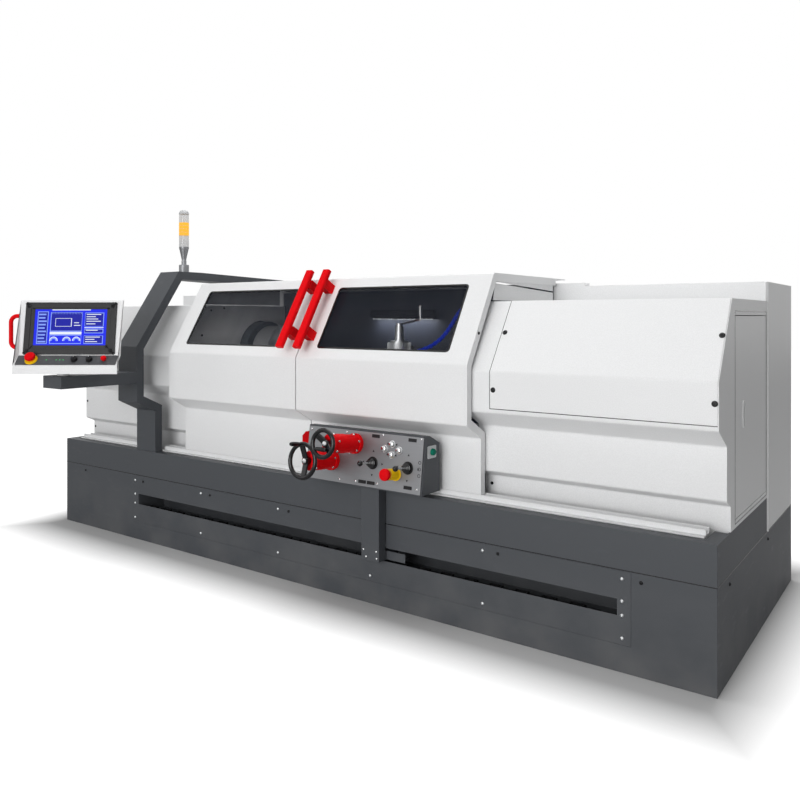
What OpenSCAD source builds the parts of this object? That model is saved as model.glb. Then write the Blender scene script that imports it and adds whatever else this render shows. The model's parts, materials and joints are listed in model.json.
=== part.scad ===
// CNC turning lathe: a flat-bed lathe in a sheet-metal enclosure with two sliding hoods,
// a swivelling control pendant on a gantry and a travelling handwheel pod in front.
// X runs along the spindle, Y to the back, Z up. The origin is the centre of the base on the floor.

/* [Base and tray] */
// Length of the base along the spindle
base_l = 4000; // [3700:10:4400]
// Depth of the base from front to back
base_d = 1472; // [1440:2:1560]
// Height of the base box
base_h = 378; // [360:1:420]
// Height of the chip tray on the base
tray_h = 149; // [140:1:170]
// Sheet of the chip tray
tray_t = 6; // [4:1:8]
// Width of the flange along the tray's front rim
tray_flange = 54; // [50:1:56]

/* [Slot in the base] */
// Length of the slot that the pod's arm runs in
slot_l = 2891; // [2700:1:2950]
// Place of the slot's middle along the machine
slot_mid = 201; // [150:1:240]
// Height of the slot's lower edge above the floor
slot_z = 208; // [200:1:215]
// Height of the slot
slot_h = 60; // [54:1:66]
// Margin of the cover plate beyond the slot's ends
plate_margin = 53; // [45:1:60]
// Margin of the cover plate above and below the slot
plate_rim = 106; // [90:1:110]
// Sheet of the cover plate
plate_t = 4; // [3:0.5:6]
// Depth of the channel behind the slot
channel_d = 184; // [170:1:220]
// Section of the guide rail in the channel
guide_w = 30; // [24:1:36]
// Pitch of the drag chain's links
link_pitch = 60; // [50:1:80]
// Height of the drag chain
link_h = 38; // [30:1:42]

/* [Enclosure] */
// Length of the head-end housing
head_l = 1107; // [1080:1:1150]
// Length of the tail-end housing
tail_l = 1017; // [980:1:1060]
// Height of the housings' flat top above the tray
housing_top = 853; // [840:1:870]
// Sheet of housings and hoods
sheet_t = 5; // [3:0.5:6]
// Thickness of the housings' end frames
frame_t = 24; // [22:1:30]
// Distance of the rear cabinet's front behind the base's front
cab_set = 864; // [860:1:880]
// Height of the rear cabinet on the base
cab_h = 1087; // [1070:1:1110]
// Distance from the base's left end to the cabinet's left end
cab_inset = 79; // [60:1:100]
// Length of the removable tail panel
panel_l = 898; // [860:1:920]

/* [Hoods] */
// Height of the hood roofs above the tray
hood_top = 979; // [970:1:985]
// Overhang of the hoods' belly in front of the base
hood_belly = 24; // [20:1:30]
// Depth of the folded return along the hoods' end edges
hood_return = 36; // [30:1:38]
// Overlap of each hood over its housing
hood_overlap = 35; // [30:1:60]
// Gap between the closed hoods
hood_gap = 6; // [4:1:12]
// Margin of a window to each end of its hood
window_side = 107.5; // [90:0.5:160]
// Height of a window along the slope
window_h = 346; // [300:1:370]
// Corner radius of a window
window_r = 18; // [8:1:40]
// Thickness of a window pane
pane_t = 6; // [4:1:10]
// Width of a hood handle's bar
bar_w = 44; // [36:1:50]
// Thickness of a hood handle's bar
bar_t = 26; // [20:1:30]
// Stand-off of a handle bar's middle from the slope
bar_off = 74; // [64:1:90]
// Distance of a handle from the hoods' meeting edge
bar_inset = 54; // [40:1:80]

/* [Gantry and lamp] */
// Width of the gantry's box section
gantry_w = 173; // [150:1:190]
// Thickness of the gantry's box section
gantry_t = 48; // [42:1:50]
// Place of the gantry's middle along the machine
gantry_x = -1181; // [-1200:1:-1160]
// Reach of the pendant arm in front of the base
arm_reach = 572; // [560:1:620]
// Depth of the pendant arm's section
arm_h = 65; // [50:1:80]
// Radius of the signal lamp
lamp_r = 30; // [24:1:34]

/* [Pendant] */
// Width of the control pendant
pendant_w = 540; // [500:1:580]
// Height of the control pendant
pendant_h = 384; // [370:1:400]
// Angle of the pendant about its post
pendant_turn = 36; // [20:1:70]
// Offset of the pendant's middle from its post
pendant_shift = 57; // [30:1:70]
// Radius of the pendant's swivel post
post_r = 32; // [26:1:40]

/* [Handwheel pod] */
// Left side of the pod
pod_x = 165; // [100:1:220]
// Width of the pod
pod_w = 665; // [655:1:720]
// Height of the pod's face
pod_h = 251; // [246:1:256]
// Sheet of the pod's box
pod_t = 4; // [3:0.5:5]
// Radius of the upper handwheel
upper_wheel_r = 68; // [60:1:70]
// Radius of the lower handwheel
lower_wheel_r = 84; // [70:1:86]
// Radius of a handwheel housing
gear_r = 43; // [38:1:46]
// Length of the lower handwheel's housing
gear_l = 160; // [130:1:175]
// How much further out the upper handwheel stands
gear_lead = 24; // [16:1:30]
// Width of the pod's arm
pod_arm_w = 100; // [80:1:120]

/* [Lathe] */
// Height of the spindle axis above the tray
spindle_h = 573; // [565:1:580]
// Distance of the spindle axis behind the base's front
spindle_set = 656; // [645:1:660]
// Height of the spindle axis above the bed ways
centre_h = 330; // [320:1:335]
// Width over the bed ways
bed_w = 360; // [340:2:370]
// Radius of the through hole of the spindle
bore_r = 52; // [40:1:54]
// Outside radius of the spindle
spindle_r = 70; // [64:1:72]
// Radius of the chuck
chuck_r = 157; // [150:1:165]
// Length of the chuck
chuck_l = 125; // [110:1:140]
// Width of a chuck jaw
jaw_w = 40; // [30:1:46]
// Radius of the tailstock quill
quill_r = 45; // [38:1:48]
// Radius of the lead screw
screw_r = 16; // [12:1:18]
// Radius of the toothed toolpost
toolpost_r = 62; // [56:1:68]
// Number of teeth round the toolpost
post_teeth = 40; // [30:1:48]

/* [Hidden] */

// Running clearance of a shaft in its bore
fit = 0.05;
// Clearance between flat sliding faces
slide_gap = 0.3;
// Gap round a flush door
door_gap = 3;
// Overlap that lets a cut pass through a face
cut = 1;
$fn = 64;

white = [0.93, 0.93, 0.94];
dark_grey = [0.27, 0.28, 0.30];
gantry_grey = [0.23, 0.25, 0.27];
red = [0.90, 0.03, 0.05];
black = [0.06, 0.06, 0.07];
steel = [0.70, 0.71, 0.72];
iron = [0.42, 0.46, 0.50];
glass = [0.16, 0.18, 0.22, 0.6];
blue = [0.05, 0.10, 0.80];
amber = [1.0, 0.62, 0.10];
green = [0.02, 0.45, 0.35];

// Levels and planes that the pieces share
end_x = base_l / 2;
front_y = -base_d / 2;
back_y = base_d / 2;
deck_z = base_h + tray_h;
tray_floor_z = base_h + tray_t;
cab_y = front_y + cab_set;
cab_top = base_h + cab_h;
head_end = -end_x + head_l;
tail_end = end_x - tail_l;
axis_y = front_y + spindle_set;
axis_z = deck_z + spindle_h;
way_z = axis_z - centre_h;

// Hood profile: distances behind the base's front, and heights above the tray
roof_back = 966;
roof_front = 209;
belly_top = 585;
belly_low = 330;
skirt_set = 91;
skirt_top = 265;
skirt_foot = 18;
hood_top_z = deck_z + hood_top;
hood_foot_z = deck_z + skirt_foot;

// Profile of the hoods in (Y, Z), from the back of the roof to the foot of the skirt
hood_pts = [
  [front_y + roof_back, hood_top_z], [front_y + roof_front, hood_top_z],
  [front_y - hood_belly, deck_z + belly_top], [front_y - hood_belly, deck_z + belly_low],
  [front_y + skirt_set, deck_z + skirt_top], [front_y + skirt_set, hood_foot_z]
];
slope_foot = hood_pts[2];
slope_top = hood_pts[1];
slope_l = norm(slope_top - slope_foot);
slope_tilt = atan2(slope_top[0] - slope_foot[0], slope_top[1] - slope_foot[1]);
hood_w = (tail_end - head_end + 2 * hood_overlap - hood_gap) / 2;
left_hood_x = head_end - hood_overlap;
right_hood_x = left_hood_x + hood_w + hood_gap;
left_meet = left_hood_x + hood_w;
window_w = hood_w - 2 * window_side;
window_v = slope_l / 2;

// Housing profile: distances behind the base's front, and heights above the tray
brow_set = 216;
face_set = 21;
face_top = 558;
face_low = 387;
waist_set = 137;
waist_top = 319;
waist_low = 120;
sill_set = 195;
sill_top = 95;
housing_top_z = deck_z + housing_top;

// Profile of the housings in (Y, Z), from the rear cabinet to the tray's floor
housing_pts = [
  [cab_y, housing_top_z], [front_y + brow_set, housing_top_z], [front_y + face_set, deck_z + face_top],
  [front_y + face_set, deck_z + face_low], [front_y + waist_set, deck_z + waist_top],
  [front_y + waist_set, deck_z + waist_low], [front_y + sill_set, deck_z + sill_top],
  [front_y + sill_set, tray_floor_z]
];

// Gantry profile: distances from the cabinet's and the base's front, and heights above the hoods and the tray
gantry_back = 292;
gantry_rise = 77;
gantry_flat = 340;
gantry_fall = 24;
gantry_brow = 173;
gantry_out = 119;
gantry_high = 616;
gantry_low = 301;
gantry_knee = 240;
gantry_foot = 6;
arm_rise = 473;
gantry_top_z = hood_top_z + gantry_rise;
gantry_foot_y = front_y + gantry_foot;

// Outer face of the gantry in (Y, Z), from its rear end over the roofs and down to the tray
gantry_pts = [
  [cab_y + gantry_back, gantry_top_z - gantry_fall], [front_y + gantry_flat, gantry_top_z],
  [front_y + gantry_brow, gantry_top_z],
  [front_y - gantry_out, deck_z + gantry_high], [front_y - gantry_out, deck_z + gantry_low],
  [gantry_foot_y, deck_z + gantry_knee], [gantry_foot_y, deck_z]
];
arm_top_z = deck_z + arm_rise;

// Unit direction of a segment, and the normal to its left
function unit(v) = v / norm(v);
function left_of(v) = [-v[1], v[0]];
function way(pts, i) = unit(pts[i + 1] - pts[i]);

// Point i of a path moved to its left by t, mitred at the corners
function moved(pts, i, t) =
  let (n = len(pts) - 1)
  let (a = left_of(way(pts, max(i - 1, 0))))
  let (b = left_of(way(pts, min(i, n - 1))))
  pts[i] + t * (a + b) / (1 + a * b);
function inset(pts, t) = [for (i = [0:len(pts) - 1]) moved(pts, i, t)];
function reversed(pts) = [for (i = [len(pts) - 1:-1:0]) pts[i]];
function band(pts, t) = concat(pts, reversed(inset(pts, t)));

// A (Y, Z) outline drawn out along X
module along_x(x0, x1) {
  translate([x0, 0, 0]) rotate([90, 0, 90]) linear_extrude(x1 - x0) children();
}

// A box between two corners
module box(low, high) {
  translate(low) cube(high - low);
}

// A cylinder along X
module bar_x(x0, x1, r, y = 0, z = 0) {
  translate([x0, y, z]) rotate([0, 90, 0]) cylinder(h = x1 - x0, r = r);
}

// A rectangle with round corners
module round_rect(w, h, r) {
  square([w - 2 * r, h], center = true);
  square([w, h - 2 * r], center = true);
  for (sx = [-1, 1], sy = [-1, 1]) translate([sx * (w / 2 - r), sy * (h / 2 - r)]) circle(r);
}

// Frame on the hoods' slope: X along the machine, Y up the slope, Z out of it
module on_slope(x, v, w = 0) {
  translate([x, slope_foot[0], slope_foot[1]]) rotate([90 - slope_tilt, 0, 0]) translate([0, v, w])
    children();
}

// A (X, Z) outline drawn out along Y
module along_y(y0, y1) {
  translate([0, y1, 0]) rotate([90, 0, 0]) linear_extrude(y1 - y0) children();
}

// Base and tray

slot_x0 = slot_mid - slot_l / 2;
slot_x1 = slot_mid + slot_l / 2;
plate_x0 = slot_x0 - plate_margin;
plate_x1 = slot_x1 + plate_margin;
channel_rim = 50;
channel_z0 = slot_z - channel_rim;
channel_z1 = slot_z + slot_h + channel_rim;
guide_z = slot_z + slot_h / 2;

module base_stand() {
  color(dark_grey) {
    difference() {
      box([-end_x, front_y, 0], [end_x, back_y, base_h]);
      box([plate_x0, front_y - cut, slot_z - plate_rim],
        [plate_x1, front_y + plate_t, slot_z + slot_h + plate_rim]);
      box([slot_x0, front_y - cut, channel_z0], [slot_x1, front_y + channel_d, channel_z1]);
    }
    box([slot_x0, front_y + channel_d - guide_w, guide_z - guide_w / 2],
      [slot_x1, front_y + channel_d, guide_z + guide_w / 2]);
  }
}

module slot_plate() {
  color(dark_grey) difference() {
    box([plate_x0, front_y, slot_z - plate_rim], [plate_x1, front_y + plate_t, slot_z + slot_h + plate_rim]);
    box([slot_x0, front_y - cut, slot_z], [slot_x1, front_y + plate_t + cut, slot_z + slot_h]);
  }
}

chain_gap = 10;
chain_y = front_y + plate_t + chain_gap;
chain_w = 50;
link_wall = 6;
link_step = 8;
chain_margin = 45;
link_count = floor((slot_l - 2 * chain_margin) / link_pitch);

// The chain's lower run: open links that lap over one another on the channel's floor
module drag_chain() {
  color(black) for (i = [0:link_count - 1]) {
    x = slot_x0 + chain_margin + i * link_pitch;
    translate([x, chain_y, channel_z0]) difference() {
      cube([link_pitch + cut, chain_w, link_h - link_step * (i % 2)]);
      translate([link_wall, link_wall, -cut])
        cube([link_pitch - 2 * link_wall, chain_w - 2 * link_wall, link_h + 2 * cut]);
    }
  }
}

tray_gap = 6;
tray_back = cab_y - tray_gap;
corner_flange = 53;
corner_depth = 178;

module chip_tray() {
  color(dark_grey) {
    box([-end_x, front_y, base_h], [end_x, tray_back, tray_floor_z]);
    box([-end_x, front_y, base_h], [end_x, front_y + tray_t, deck_z]);
    box([-end_x, tray_back - tray_t, base_h], [end_x, tray_back, deck_z]);
    for (x = [-end_x, end_x - tray_t]) box([x, front_y, base_h], [x + tray_t, tray_back, deck_z]);
    box([-end_x, front_y, deck_z - tray_t], [end_x, front_y + tray_flange, deck_z]);
    for (x = [-end_x, end_x - corner_flange])
      box([x, front_y, deck_z - tray_t], [x + corner_flange, front_y + corner_depth, deck_z]);
  }
}

// Lathe bed, headstock and drive

head_run = 587;
bed_set = 120;
bed_x0 = head_end - head_run;
bed_x1 = end_x - bed_set;
bed_wall = 70;
way_h = 18;
vee_w = 44;
bed_y0 = axis_y - bed_w / 2;
bed_y1 = axis_y + bed_w / 2;
vee_y = bed_y0 + bed_wall / 2;
foot_h = 40;
foot_w = 40;
rib_pitch = 330;
rib_t = 40;
rib_drop = 60;

// Section of one bed wall with its foot
module bed_wall_section(y0) {
  translate([y0, tray_floor_z]) square([bed_wall, way_z - tray_floor_z]);
  translate([y0 - foot_w, tray_floor_z]) square([bed_wall + foot_w, foot_h]);
}

module lathe_bed() {
  rib_count = floor((bed_x1 - bed_x0 - rib_t) / rib_pitch);
  color(iron) {
    along_x(bed_x0, bed_x1) {
      bed_wall_section(bed_y0);
      bed_wall_section(bed_y1 - bed_wall);
      polygon([[vee_y - vee_w / 2, way_z], [vee_y + vee_w / 2, way_z], [vee_y, way_z + way_h]]);
    }
    for (i = [0:rib_count]) {
      x = bed_x0 + i * rib_pitch;
      box([x, bed_y0 + bed_wall / 2, tray_floor_z + foot_h],
        [x + rib_t, bed_y1 - bed_wall / 2, way_z - rib_drop]);
    }
    for (x = [bed_x0, bed_x1 - rib_t])
      box([x, bed_y0 + bed_wall / 2, tray_floor_z], [x + rib_t, bed_y1 - bed_wall / 2, way_z]);
    for (x = [screw_x0, bed_x1 - rib_t]) screw_bearing(x);
  }
}

// Bearing block of the lead screw on the bed's front wall
module screw_bearing(x) {
  wall = 20;
  difference() {
    box([x, screw_y - screw_r - wall, screw_z - screw_r - wall],
      [x + rib_t, bed_y0 + cut, screw_z + screw_r + wall]);
    bar_x(x - cut, x + rib_t + cut, screw_r + fit, screw_y, screw_z);
  }
}

head_gap = 14;
boss_wall = 112;
boss_out = 58;
head_rise = 220;
head_side = 30;
head_slope = 60;
head_foot = 20;
head_front = head_end - frame_t - head_gap;
boss_r = spindle_r + boss_wall;
boss_front = head_end + boss_out;
head_top_z = axis_z + head_rise;
head_foot_z = way_z + head_foot;
head_x0 = bed_x0;

module headstock() {
  color(iron) difference() {
    union() {
      along_x(head_x0, head_front) polygon([
        [bed_y0 - head_side, head_foot_z], [bed_y1, head_foot_z], [bed_y1, head_top_z - head_slope],
        [bed_y1 - head_slope, head_top_z], [bed_y0 + head_side, head_top_z],
        [bed_y0 - head_side, head_top_z - head_slope]
      ]);
      box([head_x0, vee_y + vee_w / 2 + head_foot, way_z], [head_front, bed_y1, head_foot_z + cut]);
      bar_x(head_front - cut, boss_front, boss_r, axis_y, axis_z);
    }
    bar_x(head_x0 - cut, boss_front + cut, spindle_r + fit, axis_y, axis_z);
  }
}

guard_t = 66;
guard_x1 = head_x0;
guard_x0 = guard_x1 - guard_t;
motor_r = 132;
motor_foot = 24;
motor_z = tray_floor_z + motor_r + motor_foot;
motor_l = 330;

// Closed cover over the belt from the motor to the spindle
module belt_guard() {
  r_low = 120;
  r_high = 150;
  wall = 5;
  color(white) difference() {
    translate([guard_x0, axis_y, 0]) rotate([90, 0, 90]) linear_extrude(guard_t) {
      translate([0, motor_z]) circle(r_low);
      translate([0, axis_z]) circle(r_high);
      polygon([[-r_low, motor_z], [r_low, motor_z], [r_high, axis_z], [-r_high, axis_z]]);
    }
    bar_x(guard_x0 - cut, guard_x1 + cut, spindle_r + wall, axis_y, axis_z);
  }
}

module main_motor() {
  fins = 28;
  fin_h = 10;
  fin_t = 4;
  fin_root = 3;
  fin_start = 60;
  fin_end = 30;
  foot_in = 10;
  x0 = guard_x0 - motor_l + fin_start;
  x1 = guard_x0 - fin_end;
  foot_x0 = x0 + foot_in;
  foot_x1 = x1 - foot_in;
  color(iron) {
    bar_x(guard_x0 - motor_l, guard_x0, motor_r - fin_h, axis_y, motor_z);
    for (i = [0:fins - 1]) translate([x0, axis_y, motor_z]) rotate([i * 360 / fins, 0, 0])
      translate([0, -fin_t / 2, motor_r - fin_h - fin_root]) cube([x1 - x0, fin_t, fin_h + fin_root]);
    box([foot_x0, axis_y - motor_r, tray_floor_z], [foot_x1, axis_y + motor_r, tray_floor_z + motor_foot]);
    box([foot_x0, axis_y - motor_r / 2, tray_floor_z + motor_foot - cut],
      [foot_x1, axis_y + motor_r / 2, motor_z - motor_r / 2]);
  }
}

// Housings, rear cabinet and doors

// Shell of a housing with its bottom clear of the tray's end wall
module housing_shell(x0, x1) {
  along_x(x0, x1) polygon(band(housing_pts, sheet_t));
}

// End frame of a housing: the closed outline from the profile back to the cabinet
module housing_end(x0, x1) {
  rear = tray_back - tray_t;
  along_x(x0, x1) polygon(concat(housing_pts, [[rear, tray_floor_z], [rear, deck_z], [cab_y, deck_z]]));
}

// Room for the tray's end wall and flange under a housing's outer end
module tray_end_room(side) {
  x = side > 0 ? end_x - tray_t : -end_x - cut;
  box([x, front_y, base_h], [x + tray_t + cut, cab_y + cut, deck_z]);
}

bar_room = 30;
boss_room = 6;
bar_hole_r = bore_r + bar_room;
bed_room = 12;

module head_housing() {
  color(white) difference() {
    union() {
      housing_shell(-end_x, head_end);
      housing_end(-end_x, -end_x + sheet_t);
      housing_end(head_end - frame_t, head_end);
      box([-end_x, cab_y - sheet_t, deck_z], [-end_x + cab_inset, cab_y, housing_top_z]);
    }
    tray_end_room(-1);
    bar_x(-end_x - cut, -end_x + sheet_t + cut, bar_hole_r, axis_y, axis_z);
    bar_x(head_end - frame_t - cut, head_end + cut, boss_r + boss_room, axis_y, axis_z);
    box([head_end - frame_t - cut, bed_y0 - foot_w - bed_room, tray_floor_z - cut],
      [head_end + cut, cab_y + cut, way_z + way_h + bed_room]);
  }
}

// Side door on the tail end, hung on two pins at its back edge
door_front = 264;
door_back = 844;
door_low = 33;
door_high = 788;
door_y0 = front_y + door_front;
door_y1 = front_y + door_back;
door_z0 = deck_z + door_low;
door_z1 = deck_z + door_high;
door_t = 20;
pin_r = 5;
pin_l = 15;
door_axis_x = end_x - door_t / 2;
door_axis_y = door_y1 - door_t / 2;
pocket_w = 26;
pocket_h = 96;
pocket_d = 12;
pocket_set = 137;
pocket_up = 410;
pocket_y = door_y0 + pocket_set;
pocket_z = deck_z + pocket_up;

module tail_housing() {
  color(white) difference() {
    union() {
      housing_shell(tail_end, end_x);
      housing_end(end_x - frame_t, end_x);
    }
    tray_end_room(1);
    box([end_x - frame_t - cut, door_y0 - door_gap, door_z0 - door_gap],
      [end_x + cut, door_y1 + door_gap, door_z1 + door_gap]);
    translate([door_axis_x, door_axis_y, door_z0 - door_gap - pin_l])
      cylinder(h = door_z1 - door_z0 + 2 * (door_gap + pin_l), r = pin_r + fit);
  }
}

// A door leaf with a round hinge edge, its pins and a finger pocket; the leaf runs from the axis along -Y
module door_leaf(w, h, at, up) {
  difference() {
    union() {
      translate([-door_t / 2, -w + door_t / 2, 0]) cube([door_t, w - door_t / 2, h]);
      cylinder(h = h, r = door_t / 2);
      translate([0, 0, -door_gap - pin_l + 1]) cylinder(h = h + 2 * (door_gap + pin_l - 1), r = pin_r);
    }
    translate([door_t / 2 - pocket_d, -w + door_t / 2 + at - pocket_w / 2, up - pocket_h / 2])
      cube([pocket_d + cut, pocket_w, pocket_h]);
  }
}

module side_door() {
  color(white) translate([door_axis_x, door_axis_y, door_z0])
    door_leaf(door_y1 - door_y0, door_z1 - door_z0, pocket_y - door_y0, pocket_z - door_z0);
}

panel_t = 3;
panel_foot = 406;
panel_gap = 3;
panel_low = deck_z + panel_foot;

// Removable panel over the tail housing's belly and slope
module tail_panel() {
  pts = [housing_pts[1], housing_pts[2], [housing_pts[2][0], panel_low]];
  color(white) along_x(end_x - panel_l, end_x - panel_gap) polygon(band(pts, -panel_t));
}

// Electrics bay in the back of the rear cabinet
bay_set = 500;
bay_rise = 122;
bay_x0 = -end_x + bay_set;
bay_w = 1200;
bay_z0 = base_h + bay_rise;
bay_h = 800;
bay_d = 320;
bay_door_x = bay_x0 + door_gap + door_t / 2;
bay_door_y = back_y - door_t / 2;

module rear_cabinet() {
  drives = 5;
  drive_size = [130, 160, 300];
  drive_pitch = 200;
  drive_set = 120;
  drive_up = 380;
  duct = 60;
  duct_set = 100;
  duct_up = 160;
  bay_back = back_y - bay_d - cut;
  color(white) {
    difference() {
      box([-end_x + cab_inset, cab_y, base_h], [end_x, back_y, cab_top]);
      box([bay_x0, back_y - bay_d, bay_z0], [bay_x0 + bay_w, back_y + cut, bay_z0 + bay_h]);
      translate([bay_door_x, bay_door_y, bay_z0 - pin_l]) cylinder(h = bay_h + 2 * pin_l, r = pin_r + fit);
    }
    for (i = [0:drives - 1]) translate([bay_x0 + drive_set + i * drive_pitch, bay_back, bay_z0 + drive_up])
      cube(drive_size);
    translate([bay_x0 + duct_set, bay_back, bay_z0 + duct_up]) cube([bay_w - 2 * duct_set, duct, duct]);
  }
}

bay_pocket = 60;

module cabinet_door() {
  color(white) translate([bay_door_x, bay_door_y, bay_z0 + door_gap]) rotate([0, 0, 90])
    door_leaf(bay_w - 2 * door_gap, bay_h - 2 * door_gap, bay_pocket, bay_h / 2);
}

lamp_set = 188;
lamp_x0 = right_hood_x - lamp_set;
lamp_l = 440;
lamp_up = 200;

// Flat lamp on two brackets in front of the cabinet
module work_lamp() {
  z = axis_z + lamp_up;
  body_h = 52;
  chamfer = 12;
  rear = cab_y - 20;
  front = cab_y - 58;
  bracket = 40;
  color(black) {
    along_x(lamp_x0, lamp_x0 + lamp_l)
      polygon([[rear, z], [front, z + chamfer], [front, z + body_h], [rear, z + body_h]]);
    for (x = [lamp_x0 + bracket, lamp_x0 + lamp_l - 2 * bracket])
      box([x, rear - cut, z + chamfer], [x + bracket, cab_y, z + body_h - chamfer]);
  }
}

// Hoods and their rails

rail_l = 2240;
rail_w = 60;
rail_h = 17;
rail_t = 4;
rail_set = 10;
rail_y = cab_y + rail_set;
foot_gap = 6;
foot_rail_w = 76;
foot_rail_y0 = front_y + tray_flange + foot_gap;
foot_rail_y1 = foot_rail_y0 + foot_rail_w;
foot_rail_t = 5;
foot_lip = 25;
lip_gap = 3;
skirt_y = hood_pts[5][0];
shoe_l = 90;

module hood_rails() {
  mid = (left_meet + right_hood_x) / 2;
  lip_front = skirt_y - lip_gap;
  lip_back = skirt_y + hood_return + lip_gap;
  posts = 6;
  post_w = 36;
  rail_end = end_x - corner_flange - foot_gap;
  color(white) {
    difference() {
      box([mid - rail_l / 2, rail_y, cab_top], [mid + rail_l / 2, rail_y + rail_w, cab_top + rail_h]);
      box([mid - rail_l / 2 - cut, rail_y + rail_t, cab_top + rail_t],
        [mid + rail_l / 2 + cut, rail_y + rail_w - rail_t, cab_top + rail_h + cut]);
    }
    box([-rail_end, foot_rail_y0, deck_z], [rail_end, foot_rail_y1, deck_z + foot_rail_t]);
    box([-rail_end, lip_front - rail_t, deck_z], [rail_end, lip_front, deck_z + foot_lip]);
    box([-rail_end, lip_back, deck_z], [rail_end, lip_back + rail_t, deck_z + foot_lip]);
    for (i = [0:posts - 1]) {
      x = -rail_end + i * (2 * rail_end - post_w) / (posts - 1);
      box([x, skirt_y, tray_floor_z], [x + post_w, skirt_y + post_w, deck_z + foot_rail_t]);
    }
  }
}

// One hood: skin, folded returns at both ends, roof guides in the top rail and shoes on the foot rail
module hood(x0, meet, side) {
  return_gap = 12;
  roof_pts = concat([[cab_y - return_gap, hood_top_z]], [for (i = [1:5]) hood_pts[i]]);
  guides = [20, 115];
  guide_l = 80;
  shoe_set = 30;
  shoe_gap = 4;
  difference() {
    along_x(x0, x0 + hood_w) polygon(band(hood_pts, sheet_t));
    on_slope(x0 + hood_w / 2, window_v, -2 * sheet_t) linear_extrude(4 * sheet_t)
      round_rect(window_w, window_h, window_r);
  }
  for (x = [x0, x0 + hood_w - sheet_t]) along_x(x, x + sheet_t) polygon(band(roof_pts, hood_return));
  for (g = guides) {
    x = side > 0 ? meet + g : meet - g - guide_l;
    box([x, rail_y + rail_t + slide_gap, cab_top + rail_t + slide_gap],
      [x + guide_l, rail_y + rail_w - rail_t - slide_gap, hood_top_z - sheet_t / 2]);
  }
  for (x = [x0 + shoe_set, x0 + hood_w - shoe_set - shoe_l])
    box([x, skirt_y, deck_z + foot_rail_t + slide_gap],
      [x + shoe_l, skirt_y + hood_return - shoe_gap, hood_foot_z + shoe_set]);
}

pane_gap = 0.05;

// Pane behind the sheet, larger than its opening all round
module window_pane(x0) {
  lap = 16;
  on_slope(x0 + hood_w / 2, window_v, -sheet_t - pane_gap - pane_t) linear_extrude(pane_t)
    round_rect(window_w + 2 * lap, window_h + 2 * lap, window_r);
}

// A bar along the slope on two blocks, longer than the slope at its top
module hood_handle(x) {
  low = 17;
  high = 458;
  block = 46;
  block_low = 96;
  block_high = 366;
  block_side = 3;
  bar_round = 8;
  on_slope(x, 0) {
    translate([0, low, bar_off]) rotate([-90, 0, 0]) linear_extrude(high - low)
      round_rect(bar_w, bar_t, bar_round);
    for (v = [block_low, block_high]) translate([-bar_w / 2 + block_side, v, 0])
      cube([bar_w - 2 * block_side, block, bar_off - bar_t / 2 + cut]);
  }
}

module left_hood() { color(white) hood(left_hood_x, left_meet, -1); }
module right_hood() { color(white) hood(right_hood_x, right_hood_x, 1); }
module left_window() { color(glass) window_pane(left_hood_x); }
module right_window() { color(glass) window_pane(right_hood_x); }
module left_handle() { color(red) hood_handle(left_meet - bar_inset); }
module right_handle() { color(red) hood_handle(right_hood_x + bar_inset); }

// Gantry, pendant arm and signal lamp

gantry_x0 = gantry_x - gantry_w / 2;
gantry_x1 = gantry_x + gantry_w / 2;
post_set = 65;
post_y = front_y - arm_reach + post_set;
post_gap = 16;

module gantry() {
  rear_foot = 120;
  foot_lap = 10;
  color(gantry_grey) difference() {
    union() {
      along_x(gantry_x0, gantry_x1) polygon(band(gantry_pts, gantry_t));
      box([gantry_x0, gantry_pts[0][0] - rear_foot, cab_top],
        [gantry_x1, gantry_pts[0][0], gantry_pts[0][1] - gantry_t + foot_lap]);
      box([gantry_x0, front_y - arm_reach, arm_top_z - arm_h],
        [gantry_x1, gantry_pts[3][0] + cut, arm_top_z]);
    }
    translate([gantry_x, post_y, arm_top_z - arm_h - cut]) cylinder(h = arm_h + 2 * cut, r = post_r + fit);
  }
}

signal_set = 280;
signal_y = front_y + signal_set;
signal_h = 384;

// Signal lamp: foot, tapering stem, collar, clear tube and domed cap, turned as one
module stack_light() {
  stem_h = 150;
  dome = 24;
  foot_h = 12;
  cone_h = 30;
  collar_h = 20;
  waist = 12;
  color(amber) translate([gantry_x, signal_y, gantry_top_z]) {
    cylinder(h = foot_h, r = lamp_r + waist);
    translate([0, 0, foot_h]) cylinder(h = cone_h, r1 = lamp_r + waist / 2, r2 = lamp_r - waist);
    translate([0, 0, foot_h + cone_h]) cylinder(h = stem_h - foot_h - cone_h - collar_h, r = lamp_r - waist);
    translate([0, 0, stem_h - collar_h]) cylinder(h = collar_h, r1 = lamp_r - waist, r2 = lamp_r);
    translate([0, 0, stem_h]) cylinder(h = signal_h - stem_h - dome, r = lamp_r);
    translate([0, 0, signal_h - dome]) cylinder(h = dome, r1 = lamp_r, r2 = lamp_r - waist);
  }
}

// Control pendant

// Pendant profile in its own (Y, Z): lip, key ledge, leaning screen, top and back
lip_z = 45;
ledge_z = 93;
lip_out = 120;
ledge_out = 70;
screen_out = 26;
brow = 8;
shell_back = 62;
shell_taper = 20;
pendant_pts = [
  [-lip_out, 0], [-lip_out, lip_z], [-ledge_out, ledge_z], [-screen_out, pendant_h - brow],
  [-screen_out + brow, pendant_h], [shell_back, pendant_h], [shell_back, ledge_z],
  [shell_back - shell_taper, 0]
];
ledge_foot = pendant_pts[1];
ledge_top = pendant_pts[2];
screen_top = pendant_pts[3];
ledge_l = norm(ledge_top - ledge_foot);
screen_l = norm(screen_top - ledge_top);
ledge_tilt = atan2(ledge_top[0] - ledge_foot[0], ledge_top[1] - ledge_foot[1]);
screen_tilt = atan2(screen_top[0] - ledge_top[0], screen_top[1] - ledge_top[1]);
front_t = 4;

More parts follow.
